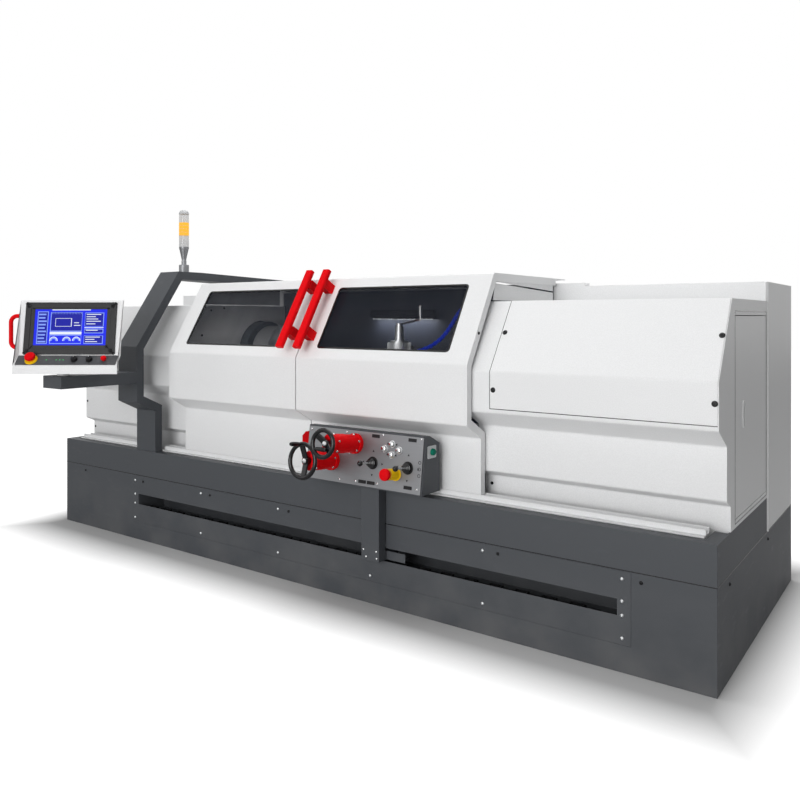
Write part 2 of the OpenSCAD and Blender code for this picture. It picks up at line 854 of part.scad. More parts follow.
// Frames of the swivel post and of the pendant, whose middle stands beside the post
module on_post() {
  translate([gantry_x, post_y, arm_top_z + post_gap]) rotate([0, 0, pendant_turn]) children();
}
module on_pendant() {
  on_post() translate([pendant_shift, 0, 0]) children();
}

// Frames on the pendant's key ledge and screen
module on_ledge(u, v) {
  on_pendant() translate([u, ledge_foot[0], ledge_foot[1]]) rotate([90 - ledge_tilt, 0, 0])
    translate([0, v, 0])
    children();
}
module on_screen(u, v) {
  on_pendant() translate([u, ledge_top[0], ledge_top[1]]) rotate([90 - screen_tilt, 0, 0])
    translate([0, v, 0])
    children();
}

// Places of the pendant's controls along the ledge
ledge_mid = ledge_l / 2;
estop_set = 88;
button_set = 75;
estop_u = -pendant_w / 2 + estop_set;
knob_left_u = 40;
knob_right_u = 118;
button_u = pendant_w / 2 - button_set;
stem_r = 9;
stem_l = 26;
knob_r = 17;
estop_r = 26;
button_r = 14;
control_rise = 7.5;
ledge_collar = 8;
ledge_collar_r = 32;
hole_depth = 40;
estop_cap = 22;
button_cap = 17;

module stem_hole(u) {
  on_ledge(u, ledge_mid) translate([0, 0, -hole_depth]) cylinder(h = 1.5 * hole_depth, r = stem_r + fit);
}

post_up = 6;

module pendant_shell() {
  color(white) difference() {
    union() {
      on_pendant() along_x(-pendant_w / 2, pendant_w / 2) polygon(pendant_pts);
      on_post() translate([0, 0, -arm_h - post_gap + post_up]) cylinder(h = arm_h + post_gap, r = post_r);
    }
    for (u = [estop_u, knob_left_u, knob_right_u, button_u]) stem_hole(u);
  }
}

// Key plate on the ledge and bezel round the display
module pendant_front() {
  plate = [pendant_w - 20, ledge_l - 4, front_t];
  bezel_w = pendant_w - 62;
  bezel_h = screen_l - 10;
  bezel_t = 2 * front_t;
  bezel_r = 10;
  rim_side = 49;
  rim_top = 35;
  display_up = 6;
  color(dark_grey) {
    difference() {
      on_ledge(0, ledge_mid) translate([0, 0, front_t / 2]) cube(plate, center = true);
      for (u = [estop_u, knob_left_u, knob_right_u, button_u]) stem_hole(u);
    }
    on_ledge(estop_u, ledge_mid) translate([0, 0, front_t]) tube(ledge_collar, ledge_collar_r, stem_r + fit);
    on_screen(0, screen_l / 2) difference() {
      linear_extrude(bezel_t) round_rect(bezel_w, bezel_h, bezel_r);
      translate([0, display_up, front_t]) linear_extrude(bezel_t)
        round_rect(bezel_w - 2 * rim_side, bezel_h - 2 * rim_top, front_t);
    }
  }
}

grip_out = 76;
grip_tube = 11;
grip_low = 130;
grip_high = 300;

// Bent tube grip on the pendant's left side
module pendant_grip() {
  bend = 34;
  side = -pendant_w / 2;
  set = 20;
  color(red) on_pendant() translate([side, set, 0]) rotate([90, 0, 0]) {
    for (z = [grip_low, grip_high]) translate([-grip_out + bend, z, 0]) rotate([0, 90, 0])
      cylinder(h = grip_out - bend, r = grip_tube);
    translate([-grip_out, grip_low + bend, 0]) rotate([-90, 0, 0])
      cylinder(h = grip_high - grip_low - 2 * bend, r = grip_tube);
    translate([-grip_out + bend, grip_low + bend, 0]) rotate([0, 0, 180])
      rotate_extrude(angle = 90) translate([bend, 0]) circle(grip_tube);
    translate([-grip_out + bend, grip_high - bend, 0]) rotate([0, 0, 90])
      rotate_extrude(angle = 90) translate([bend, 0]) circle(grip_tube);
  }
}

// Mushroom button on a stem, from its panel's face upwards
module mushroom(r, rise, cap) {
  flare = 4;
  shoulder = 6;
  translate([0, 0, -stem_l]) cylinder(h = stem_l + rise + cut, r = stem_r);
  translate([0, 0, rise]) cylinder(h = shoulder, r1 = r - flare, r2 = r);
  translate([0, 0, rise + shoulder]) cylinder(h = cap - 2 * shoulder, r = r);
  translate([0, 0, rise + cap - shoulder]) cylinder(h = shoulder, r1 = r, r2 = r - shoulder);
}

// Rotary knob with a pointer ridge
module rotary_knob(r) {
  rise = 0.8;
  body_h = 16;
  taper = 2;
  ridge = 5;
  ridge_set = 3;
  translate([0, 0, -stem_l]) cylinder(h = stem_l + rise + cut, r = stem_r);
  translate([0, 0, rise]) cylinder(h = body_h, r1 = r, r2 = r - taper);
  translate([-ridge / 2, -r + ridge_set, rise + body_h - cut])
    cube([ridge, 2 * (r - ridge_set), ridge + cut]);
}

// A control on the key plate
module on_keys(u) {
  on_ledge(u, ledge_mid) translate([0, 0, front_t]) children();
}

module pendant_estop() {
  color(red) on_keys(estop_u) mushroom(estop_r, ledge_collar + control_rise, estop_cap);
}

module pendant_button() { color(red) on_keys(button_u) mushroom(button_r, control_rise, button_cap); }
module pendant_knob_left() { color(black) on_keys(knob_left_u) rotary_knob(knob_r); }
module pendant_knob_right() { color(black) on_keys(knob_right_u) rotary_knob(knob_r); }

// Handwheel pod

pod_up = 23;
pod_out = 84;
pod_in = 61;
pod_lean = 32;
pod_roof = 34;
pod_slope = 37;
pod_taper = 5;
pod_z0 = deck_z + pod_up;
pod_foot_y = front_y - pod_out;
pod_tilt = asin(pod_lean / pod_h);
pod_top_z = pod_z0 + pod_h * cos(pod_tilt);
pod_back_y = front_y + pod_in;
pod_pts = [
  [pod_foot_y, pod_z0], [pod_foot_y + pod_lean, pod_top_z], [pod_foot_y + pod_lean + pod_roof, pod_top_z],
  [pod_back_y - pod_taper, pod_top_z - pod_slope], [pod_back_y, pod_z0]
];
face_t = 4;

// Frame on the pod's face: u along the machine, v up the face, Z out of it
module on_pod(u, v) {
  translate([pod_x + u, pod_foot_y, pod_z0]) rotate([90 - pod_tilt, 0, 0]) translate([0, v, 0])
    children();
}

// Places on the pod's face
upper_wheel = [290, 188];
lower_wheel = [160, 100];
joystick_at = [396, 112];
lever_at = [587, 111];
jog_mid = [496, 181];
jog_step = 44;
jog_rise = 23;
pod_estop_at = [525, 78];
switch_set = 6;
switch_up = 202;
switch_y = front_y - switch_set;
switch_z = deck_z + switch_up;
jog_r = 13;
jog_stem_r = 8;
boot_hole_r = 20;
shaft_r = 12;
shaft_room = 6;
pivot_w = -18;
pivot_r = 3;
ear_set = 20.5;
estop_collar = 60;
estop_collar_r = 24;
pod_estop_cap = 24;

module pod_box() {
  inner = [
    [pod_foot_y - cut, pod_z0 + pod_t], [pod_foot_y - cut, pod_top_z - pod_t],
    [pod_pts[2][0] - pod_t / 2, pod_top_z - pod_t],
    [pod_back_y - pod_taper - pod_t, pod_top_z - pod_slope - pod_t], [pod_back_y - pod_t, pod_z0 + pod_t]
  ];
  color(dark_grey) difference() {
    along_x(pod_x, pod_x + pod_w) polygon(pod_pts);
    along_x(pod_x + pod_t, pod_x + pod_w - pod_t) polygon(inner);
    bar_x(pod_x + pod_w - 2 * pod_t, pod_x + pod_w + cut, stem_r + fit, switch_y, switch_z);
  }
}

module face_hole(at, r) {
  on_pod(at[0], at[1]) translate([0, 0, -cut]) cylinder(h = face_t + 2 * cut, r = r);
}

module pod_face() {
  rim = 5;
  color(steel) difference() {
    on_pod(rim, rim) cube([pod_w - 2 * rim, pod_h - 2 * rim, face_t]);
    for (at = [upper_wheel, lower_wheel]) face_hole(at, shaft_r + shaft_room);
    for (at = [joystick_at, lever_at]) face_hole(at, boot_hole_r);
    for (i = [0:3]) face_hole(jog_place(i), jog_stem_r + fit);
    face_hole(pod_estop_at, stem_r + fit);
  }
  color(steel) {
    for (at = [joystick_at, lever_at]) pivot_ears(at);
    on_pod(pod_estop_at[0], pod_estop_at[1]) translate([0, 0, face_t])
      tube(estop_collar, estop_collar_r, stem_r + fit);
  }
}

// Two ears behind the face that hold a stick's pivot pins
module pivot_ears(at) {
  ear_t = 8;
  ear_r = 8;
  on_pod(at[0], at[1]) for (s = [-1, 1]) translate([s * (ear_set + ear_t / 2), 0, 0]) difference() {
    translate([-ear_t / 2, -ear_r, pivot_w - ear_r]) cube([ear_t, 2 * ear_r, ear_r - pivot_w]);
    translate([0, 0, pivot_w]) rotate([0, 90, 0])
      cylinder(h = ear_t + 2 * cut, r = pivot_r + fit, center = true);
  }
}

// A ring with a bore, standing on a face
module tube(h, r, hole) {
  difference() {
    cylinder(h = h, r = r);
    translate([0, 0, -cut]) cylinder(h = h + 2 * cut, r = hole);
  }
}

function jog_place(i) = jog_mid + [[0, jog_rise], [-jog_step, 0], [jog_step, 0], [0, -jog_rise]][i];

// Bolted round housing of a handwheel, with the shaft's bore
module wheel_housing(at, l) {
  flange = 18;
  flange_lip = 3;
  step = 2;
  on_pod(at[0], at[1]) translate([0, 0, face_t]) difference() {
    union() {
      cylinder(h = flange, r = gear_r + flange_lip);
      cylinder(h = l, r = gear_r - step);
      translate([0, 0, l / 2]) cylinder(h = l / 2, r = gear_r);
    }
    translate([0, 0, -cut]) cylinder(h = l + 2 * cut, r = shaft_r + fit);
  }
}

// Block on the pod's left side, with its outer top corner cut off
module side_block() {
  block_w = 42;
  block_set = 24;
  block_d = 60;
  block_low = 165;
  block_high = 238;
  corner = [24, 20];
  x0 = pod_x - block_w;
  top = deck_z + block_high;
  along_y(pod_foot_y + block_set, pod_foot_y + block_set + block_d) polygon([
    [x0, deck_z + block_low], [pod_x, deck_z + block_low], [pod_x, top], [x0 + corner[0], top],
    [x0, top - corner[1]]
  ]);
}

module wheel_housings() {
  color(red) {
    wheel_housing(upper_wheel, gear_l + gear_lead);
    wheel_housing(lower_wheel, gear_l);
    side_block();
  }
}

// Dished two-spoked handwheel on a shaft through a housing of length l; its grip stands out of the rim,
// or lies folded across the wheel
module handwheel(at, l, r, turn, folded) {
  rim = 10;
  dish = 20;
  hub_h = 30;
  hub_r = 17;
  spoke_w = 28;
  spoke_t = 10;
  grip_r = 10;
  grip_l = 56;
  grip_taper = 2;
  grip_neck = 18;
  neck_r = 6;
  fold = hub_r + grip_r - grip_taper;
  gap = 1;
  start = face_t + l + gap;
  spoke_z = start + hub_h - rim;
  color(black) on_pod(at[0], at[1]) {
    translate([0, 0, face_t + gap]) cylinder(h = l + hub_h - rim, r = shaft_r);
    translate([0, 0, start]) cylinder(h = hub_h, r = hub_r);
    for (side = [0, 180]) translate([0, 0, spoke_z]) rotate([0, -atan2(dish, r - rim), turn + side])
      translate([0, -spoke_w / 2, -spoke_t / 2]) cube([norm([r - rim, dish]), spoke_w, spoke_t]);
    translate([0, 0, spoke_z + dish]) {
      rotate_extrude() translate([r - rim, 0]) circle(rim, $fn = 32);
      if (!folded) rotate([0, 0, turn]) translate([r - rim, 0, 0]) {
        cylinder(h = grip_neck + cut, r = neck_r);
        translate([0, 0, grip_neck]) cylinder(h = grip_l, r1 = grip_r - grip_taper, r2 = grip_r);
      }
      if (folded) translate([-sqrt(pow(r - rim, 2) - pow(fold, 2)), -fold, 0]) rotate([0, 90, 0])
        cylinder(h = grip_l + grip_neck, r1 = grip_r, r2 = grip_r - grip_taper);
    }
  }
}

module upper_handwheel() { handwheel(upper_wheel, gear_l + gear_lead, upper_wheel_r, 140, true); }
module lower_handwheel() { handwheel(lower_wheel, gear_l, lower_wheel_r, 100, false); }

arm_set = 315;
arm_out = 54;
arm_gap = 4;
tongue_low = 7;
tongue_high = 13;
slider_in = 96;
slider_side = 40;
slider_gap = 6;
slider_h = 80;
bracket_l = 101;
bracket_t = 4;
bracket_gap = 2;
pod_arm_x = pod_x + arm_set;
arm_drop_y0 = front_y - arm_out;
arm_drop_y1 = front_y - arm_gap;
tongue_z0 = slot_z + tongue_low;
tongue_z1 = slot_z + slot_h - tongue_high;
slider_y0 = front_y + slider_in;

// Arm from the pod down and into the slot, with the slider on the guide rail and the chain's bracket
module pod_arm() {
  guide_y = front_y + channel_d - guide_w - slide_gap;
  slider_y1 = front_y + channel_d - slider_gap;
  bracket_x = pod_arm_x + pod_arm_w;
  bracket_y = front_y + plate_t + bracket_gap;
  color(dark_grey) {
    box([pod_arm_x, arm_drop_y0, tongue_z0], [pod_arm_x + pod_arm_w, arm_drop_y1, pod_z0]);
    box([pod_arm_x, arm_drop_y0, tongue_z0], [pod_arm_x + pod_arm_w, slider_y0 + cut, tongue_z1]);
    difference() {
      box([pod_arm_x - slider_side, slider_y0, guide_z - slider_h / 2],
        [bracket_x + slider_side, slider_y1, guide_z + slider_h / 2]);
      box([pod_arm_x - slider_side - cut, guide_y, guide_z - guide_w / 2 - slide_gap],
        [bracket_x + slider_side + cut, slider_y1 + cut, guide_z + guide_w / 2 + slide_gap]);
    }
    box([bracket_x - cut, bracket_y, tongue_z0], [bracket_x + bracket_l, bracket_y + bracket_t, tongue_z1]);
  }
}

// Cross gimbal behind the face that lets the joystick lean both ways
module joystick_gimbal() {
  ring_r = 19;
  ring_hole = 15;
  ring_h = 12;
  pin_in = 17;
  pin_out = 27;
  color(steel) on_pod(joystick_at[0], joystick_at[1]) translate([0, 0, pivot_w]) {
    difference() {
      cylinder(h = ring_h, r = ring_r, center = true);
      cylinder(h = ring_h + 2 * cut, r = ring_hole, center = true);
      rotate([90, 0, 0]) cylinder(h = 3 * ring_r, r = pivot_r + fit, center = true);
    }
    for (s = [-1, 1]) rotate([0, s * 90, 0]) translate([0, 0, pin_in])
      cylinder(h = pin_out - pin_in, r = pivot_r);
  }
}

// Stick, neck, ribbed boot and ball, from the pivot outwards
module stick() {
  boot_at = 31;
  boot_r = 22;
  ribs = 5;
  rib_h = 7;
  rib_step = 3.2;
  rib_taper = 3;
  neck_r = 12;
  rod_r = 5;
  ball_at = 113;
  ball_r = 12.5;
  sphere(r = neck_r);
  cylinder(h = boot_at + cut, r = neck_r);
  cylinder(h = ball_at, r = rod_r);
  for (i = [0:ribs - 1]) translate([0, 0, boot_at + i * rib_h])
    cylinder(h = rib_h + cut, r1 = boot_r - i * rib_step, r2 = boot_r - rib_taper - i * rib_step);
  translate([0, 0, ball_at]) sphere(r = ball_r);
}

joystick_pin = 38;
lever_pin = 54;

module joystick() {
  color(black) on_pod(joystick_at[0], joystick_at[1]) translate([0, 0, pivot_w]) {
    stick();
    rotate([90, 0, 0]) cylinder(h = joystick_pin, r = pivot_r, center = true);
  }
}

module feed_lever() {
  color(black) on_pod(lever_at[0], lever_at[1]) translate([0, 0, pivot_w]) {
    stick();
    rotate([0, 90, 0]) cylinder(h = lever_pin, r = pivot_r, center = true);
  }
}

// Push button with a bright cap
module jog_button(i) {
  at = jog_place(i);
  rise = 4.5;
  cap_h = 7;
  dome = 3;
  dome_in = 4;
  color(steel) on_pod(at[0], at[1]) translate([0, 0, face_t]) {
    translate([0, 0, -stem_l]) cylinder(h = stem_l + rise + cut, r = jog_stem_r);
    translate([0, 0, rise]) cylinder(h = cap_h, r = jog_r);
    translate([0, 0, rise + cap_h]) cylinder(h = dome, r1 = jog_r, r2 = jog_r - dome_in);
  }
}

module jog_up() { jog_button(0); }
module jog_left() { jog_button(1); }
module jog_right() { jog_button(2); }
module jog_down() { jog_button(3); }

module pod_estop() {
  color(red) on_pod(pod_estop_at[0], pod_estop_at[1]) translate([0, 0, face_t])
    mushroom(estop_r, estop_collar + control_rise, pod_estop_cap);
}

// Rotary switch on the pod's right side
module pod_switch() {
  x = pod_x + pod_w;
  rise = 0.8;
  knob_h = 15;
  color(green) {
    bar_x(x - stem_l, x + rise + cut, stem_r, switch_y, switch_z);
    bar_x(x + rise, x + rise + knob_h, knob_h, switch_y, switch_z);
  }
}

// Carriage

saddle_set = 32;
saddle_x = right_hood_x + saddle_set;
saddle_l = 500;
saddle_h = 60;
saddle_top = way_z + way_h + saddle_h;
saddle_chamfer = 24;
way_room = 2;
apron_gap = 6;
apron_y = bed_y0 - foot_w - apron_gap;
apron_t = 46;
apron_set = 60;
apron_drop = 110;
screw_drop = 66;
screw_y = apron_y - apron_t / 2;
screw_z = way_z - screw_drop;
post_side = 245;
post_front = 200;
toolpost_x = saddle_x + post_side;
toolpost_y = axis_y - post_front;
slide_w = 210;
slide_z = saddle_top + slide_gap;
rib_w = 90;
rib_h = 18;
rib_room = 1;

// Room for the bed's vee under a slide that runs on it
module vee_room(x0, x1) {
  along_x(x0 - cut, x1 + cut) polygon([
    [vee_y - vee_w / 2 - way_room, way_z], [vee_y + vee_w / 2 + way_room, way_z],
    [vee_y, way_z + way_h + way_room]
  ]);
}

module saddle() {
  apron_front = apron_y - apron_t;
  apron_x0 = saddle_x + apron_set;
  apron_x1 = saddle_x + saddle_l - apron_set;
  color(iron) difference() {
    union() {
      along_x(saddle_x, saddle_x + saddle_l) polygon([
        [apron_front, way_z + slide_gap], [apron_front, saddle_top - saddle_chamfer],
        [apron_front + saddle_chamfer, saddle_top], [bed_y1, saddle_top], [bed_y1, way_z + slide_gap]
      ]);
      box([apron_x0, apron_front, screw_z - apron_drop], [apron_x1, apron_y, way_z + slide_gap + cut]);
    }
    vee_room(saddle_x, saddle_x + saddle_l);
    bar_x(apron_x0 - cut, apron_x1 + cut, screw_r + fit, screw_y, screw_z);
    box([toolpost_x - rib_w / 2, apron_front - cut, saddle_top - rib_h - rib_room],
      [toolpost_x + rib_w / 2, bed_y1 + cut, saddle_top + cut]);
  }
}

screw_set = 10;
screw_out = 20;
screw_x0 = head_end + screw_set;
screw_x1 = bed_x1 + screw_out;

module leadscrew() {
  color(steel) bar_x(screw_x0, screw_x1, screw_r, screw_y, screw_z);
}

slide_front = 130;
slide_rear = 170;
slide_y0 = toolpost_y - slide_front;
slide_y1 = toolpost_y + slide_rear;
slide_t = 50;
post_z = slide_z + slide_t;
plinth_h = 58;
plinth_w = 190;
rib_set = 20;

// Cross slide on its guide rib, with the toolpost's plinth and the hose's bracket
module cross_slide() {
  color(iron) {
    box([toolpost_x - slide_w / 2, slide_y0, slide_z], [toolpost_x + slide_w / 2, slide_y1, post_z]);
    box([toolpost_x - rib_w / 2 + slide_gap, slide_y0 + rib_set, slide_z - rib_h],
      [toolpost_x + rib_w / 2 - slide_gap, slide_y1 - rib_set, slide_z + cut]);
    box([toolpost_x - plinth_w / 2, toolpost_y - plinth_w / 2, post_z - cut],
      [toolpost_x + plinth_w / 2, toolpost_y + plinth_w / 2, post_z + plinth_h]);
    box([toolpost_x + slide_w / 2 - cut, hose_y - hose_pad, slide_z + hose_gap],
      [hose_x + hose_pad, hose_y + hose_pad, slide_z + slide_t - hose_gap]);
  }
}

post_rise = 78;
tool_z = post_z + plinth_h;
toolpost_h = axis_z + post_rise - tool_z;
boss_h = 76;
cap_h = 10;

// Toothed quick-change toolpost with a tool holder and its bright clamping boss
module toolpost() {
  tooth = 3;
  tooth_root = 2.6;
  tooth_tip = 1.2;
  cap_in = 14;
  boss_low = 25;
  boss_high = 21;
  holder = 44;
  holder_set = 20;
  tool = 25;
  tool_set = 32;
  tool_l = 89;
  color(steel) translate([toolpost_x, toolpost_y, tool_z]) {
    linear_extrude(toolpost_h) {
      circle(toolpost_r - tooth);
      for (i = [0:post_teeth - 1]) rotate(i * 360 / post_teeth) translate([toolpost_r - tooth - 1, 0])
        polygon([[0, -tooth_root], [tooth + 1, -tooth_tip], [tooth + 1, tooth_tip], [0, tooth_root]]);
    }
    translate([0, 0, toolpost_h]) cylinder(h = cap_h, r = toolpost_r - cap_in);
    translate([0, 0, toolpost_h + cap_h]) cylinder(h = boss_h, r1 = boss_low, r2 = boss_high);
    translate([-holder - holder_set, toolpost_r - 2 * tooth, holder_set])
      cube([2 * holder, holder, toolpost_h - 2 * holder_set]);
    translate([-tool_set, toolpost_r - tooth, axis_z - tool_z - tool]) cube([tool, tool_l, tool]);
  }
}

boss_top = tool_z + toolpost_h + cap_h + boss_h;

// Clamping lever with a bent rod and an upright grip
module clamp_lever() {
  reach = 132;
  climb = 12;
  hub_h = 14;
  hub_r = 19;
  rod_r = 6;
  knee_h = 22;
  grip_h = 54;
  grip_r = 9;
  rod_z = boss_top + slide_gap + hub_h / 2;
  knee_z = rod_z + reach * tan(climb) - rod_r;
  color(steel) translate([toolpost_x, toolpost_y, 0]) {
    translate([0, 0, boss_top + slide_gap]) cylinder(h = hub_h, r = hub_r);
    translate([0, 0, rod_z]) rotate([0, 90 - climb, 0]) cylinder(h = reach / cos(climb), r = rod_r);
    translate([reach, 0, knee_z]) cylinder(h = knee_h, r = rod_r);
    translate([reach, 0, knee_z + knee_h]) cylinder(h = grip_h, r = grip_r);
  }
}

hose_side = 445;
hose_front = 36;
hose_pad = 24;
hose_gap = 6;
hose_x = toolpost_x + hose_side;
hose_y = toolpost_y - hose_front;
hose_bead = 11;
hose_pipe = 9;
hose_count = 20;
hose_drift = 34;
hose_rise = 240;
hose_top_z = axis_z + hose_rise;

// Handles of the hose's curve in (X, Z): out of the pipe, down and over to the tool
hose_over = [-96, 62];
hose_down = [-46, 54];
hose_end = [92, 30];
hose_ctrl = [
  [hose_x, hose_top_z], [hose_x + hose_over[0], hose_top_z + hose_over[1]],
  [hose_x + hose_down[0], axis_z + hose_down[1]], [toolpost_x + hose_end[0], axis_z + hose_end[1]]
];
function curve(p, t) =
  pow(1 - t, 3) * p[0] + 3 * pow(1 - t, 2) * t * p[1] + 3 * (1 - t) * t * t * p[2] + pow(t, 3) * p[3];
function hose_at(i) =
  let (q = curve(hose_ctrl, i / hose_count))
  [q[0], hose_y - hose_drift * i / hose_count, q[1]];

// Coolant line: an upright pipe and a row of ball-jointed beads that bends over to the tool
module coolant_hose() {
  color(blue) {
    translate([hose_x, hose_y, post_z - hose_gap])
      cylinder(h = hose_top_z - post_z + hose_gap, r = hose_pipe);
    for (i = [0:hose_count - 1]) {
      p = hose_at(i);
      q = hose_at(i + 1) - p;
      turn = atan2(q[1], q[0]);
      lean = acos(q[2] / norm(q));
      translate(p) rotate([0, lean, turn]) {
        sphere(r = hose_bead);
        cylinder(h = norm(q), r1 = 0.9 * hose_bead, r2 = 0.65 * hose_bead);
      }
    }
  }
}

// Spindle, chuck and jaws

nose_l = 20;
nose_r = 110;
nose_gap = 1;
spindle_out = 40;
chuck_x = boss_front + nose_gap + nose_l;
spindle_x0 = guard_x0 - spindle_out;

module spindle() {
  color(steel) difference() {
    union() {
      bar_x(spindle_x0, chuck_x, spindle_r, axis_y, axis_z);
      bar_x(boss_front + nose_gap, chuck_x, nose_r, axis_y, axis_z);
    }
    bar_x(spindle_x0 - cut, chuck_x + cut, bore_r, axis_y, axis_z);
  }
}

jaw_depth = 30;
jaw_in = 13;
jaw_out = 12;
jaw_r0 = bore_r + jaw_in;
jaw_r1 = chuck_r - jaw_out;
chuck_chamfer = 6;
chuck_room = 3;

module chuck() {
  color(steel) difference() {
    union() {
      bar_x(chuck_x, chuck_x + chuck_l - chuck_chamfer, chuck_r, axis_y, axis_z);
      bar_x(chuck_x + chuck_l - chuck_chamfer - cut, chuck_x + chuck_l, chuck_r - chuck_chamfer, axis_y,
        axis_z);
    }
    bar_x(chuck_x - cut, chuck_x + chuck_l + cut, bore_r + chuck_room, axis_y, axis_z);
    for (i = [0:2]) translate([chuck_x + chuck_l - jaw_depth, axis_y, axis_z]) rotate([i * 120, 0, 0])
      translate([0, -jaw_w / 2 - slide_gap, 0]) cube([jaw_depth + cut, jaw_w + 2 * slide_gap, chuck_r + cut]);
  }
}

// Stepped jaw in its slot, radial along Z before it is turned to its place
module jaw(i) {
  steps = 3;
  step = (jaw_r1 - jaw_r0) / steps;
  step_h = 17;
  color(steel) translate([chuck_x + chuck_l, axis_y, axis_z]) rotate([i * 120, 0, 0]) {
    translate([-jaw_depth + slide_gap, -jaw_w / 2, jaw_r0]) cube([jaw_depth, jaw_w, jaw_r1 - jaw_r0]);
    for (k = [0:steps - 1]) translate([-cut, -jaw_w / 2, jaw_r0])
      cube([step_h * (k + 1) + cut, jaw_w, jaw_r1 - jaw_r0 - k * step]);
  }
}

module jaw_1() { jaw(0); }
module jaw_2() { jaw(1); }
module jaw_3() { jaw(2); }

// Tailstock

tail_set = 610;
tail_x = end_x - tail_set;
tail_body_l = 360;
barrel_wall = 40;
barrel_r = quill_r + barrel_wall;
barrel_nose = 30;
barrel_tail = 10;
tail_foot = 80;
tail_waist = 110;
waist_w = 90;
neck_w = 70;
tail_cap = 30;

tail_x1 = tail_x + tail_body_l;

module tailstock() {
  color(iron) difference() {
    union() {
      along_x(tail_x, tail_x1) polygon([
        [bed_y0, way_z + slide_gap], [bed_y1, way_z + slide_gap], [bed_y1, way_z + tail_foot],
        [axis_y + waist_w, way_z + tail_waist], [axis_y + neck_w, axis_z], [axis_y - neck_w, axis_z],
        [axis_y - waist_w, way_z + tail_waist], [bed_y0, way_z + tail_foot]
      ]);
      bar_x(tail_x - barrel_nose, tail_x1 + barrel_tail, barrel_r, axis_y, axis_z);
    }
    vee_room(tail_x, tail_x1);
    bar_x(tail_x - barrel_nose - cut, tail_x1 - tail_cap, quill_r + fit, axis_y, axis_z);
    bar_x(tail_x1 - tail_cap - cut, tail_x1 + barrel_tail + cut, shaft_r + fit, axis_y, axis_z);
  }
}

quill_set = 70;
quill_gap = 14;
quill_x0 = tail_x - quill_set;

// Quill with its live centre
module quill() {
  centre_l = 60;
  centre_r = 26;
  collar_h = 16;
  collar_in = 12;
  tip_r = 1;
  color(steel) {
    bar_x(quill_x0, tail_x1 - tail_cap - quill_gap, quill_r, axis_y, axis_z);
    translate([quill_x0, axis_y, axis_z]) rotate([0, -90, 0]) {
      cylinder(h = collar_h, r = quill_r - collar_in);
      translate([0, 0, collar_h]) cylinder(h = centre_l, r1 = centre_r, r2 = tip_r);
    }
  }
}

module tail_wheel() {
  gap = 1;
  x = tail_x1 + barrel_tail + gap;
  r = 100;
  rim = 11;
  spokes = 3;
  spoke_w = 16;
  spoke_t = 10;
  hub_r = 24;
  hub_l = 30;
  shaft_in = 38;
  grip_r = 9;
  grip_l = 70;
  color(black) {
    bar_x(x - shaft_in, x + hub_l, shaft_r, axis_y, axis_z);
    bar_x(x, x + hub_l, hub_r, axis_y, axis_z);
    translate([x + hub_l - rim, axis_y, axis_z]) rotate([0, 90, 0]) {
      rotate_extrude() translate([r - rim, 0]) circle(rim, $fn = 32);
      for (i = [0:spokes - 1]) rotate([0, 0, i * 360 / spokes]) translate([0, -spoke_w / 2, -spoke_t / 2])
        cube([r - rim, spoke_w, spoke_t]);
      translate([r - rim, 0, 0]) cylinder(h = grip_l, r = grip_r);
    }
  }
}

base_stand();
slot_plate();
drag_chain();
chip_tray();
lathe_bed();
headstock();
main_motor();
belt_guard();
head_housing();
tail_housing();
tail_panel();
rear_cabinet();
work_lamp();
hood_rails();
gantry();
stack_light();
left_hood();
left_window();
left_handle();
right_hood();
right_window();
right_handle();
side_door();
cabinet_door();
pendant_shell();
pendant_front();
pendant_grip();
pendant_estop();
pendant_knob_left();
pendant_knob_right();
pendant_button();
pod_box();
pod_face();
wheel_housings();
pod_arm();
upper_handwheel();
lower_handwheel();
joystick_gimbal();
joystick();
feed_lever();
jog_up();
jog_left();
jog_right();
jog_down();
pod_estop();
pod_switch();
saddle();
leadscrew();
cross_slide();
toolpost();
coolant_hose();
clamp_lever();
spindle();
chuck();
jaw_1();
jaw_2();
jaw_3();
tailstock();
quill();
tail_wheel();
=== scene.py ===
import json
import math

import bmesh
import bpy
from bpy.props import FloatProperty, FloatVectorProperty, IntProperty, PointerProperty
from mathutils import Matrix, Vector


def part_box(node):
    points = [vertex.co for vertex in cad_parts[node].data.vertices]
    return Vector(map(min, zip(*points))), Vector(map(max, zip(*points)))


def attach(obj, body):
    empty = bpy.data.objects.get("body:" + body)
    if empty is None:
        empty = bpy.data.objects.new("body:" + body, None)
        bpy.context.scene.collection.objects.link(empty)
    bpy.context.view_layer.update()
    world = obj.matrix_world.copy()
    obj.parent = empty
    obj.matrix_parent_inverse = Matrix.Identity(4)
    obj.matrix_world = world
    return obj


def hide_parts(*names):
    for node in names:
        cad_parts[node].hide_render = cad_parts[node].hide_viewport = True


bl_info = {
    "name": "Turning lathe dressing",
    "version": (1, 0, 0),
    "blender": (4, 5, 0),
    "location": "View3D > Sidebar > Lathe",
    "description": "Dresses the solids of a flat-bed turning lathe with sheet metal, controls and finishes",
    "category": "Object",
}

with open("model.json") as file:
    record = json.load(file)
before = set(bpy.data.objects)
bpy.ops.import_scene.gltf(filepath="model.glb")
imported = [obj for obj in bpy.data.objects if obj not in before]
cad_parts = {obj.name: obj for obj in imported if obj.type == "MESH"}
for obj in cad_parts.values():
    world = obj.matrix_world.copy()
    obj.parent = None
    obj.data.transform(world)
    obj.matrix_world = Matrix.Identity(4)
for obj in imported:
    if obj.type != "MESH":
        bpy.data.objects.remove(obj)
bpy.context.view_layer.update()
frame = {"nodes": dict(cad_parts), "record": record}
BODY = {node: body for body, nodes in frame["record"]["behaviour"]["bodies"].items() for node in nodes}
MM = 0.001


# Places on the machine, in millimetres

def spot(x, y, z):
    """Shift in millimetres."""
    return Matrix.Translation(Vector((x, y, z)) * MM)


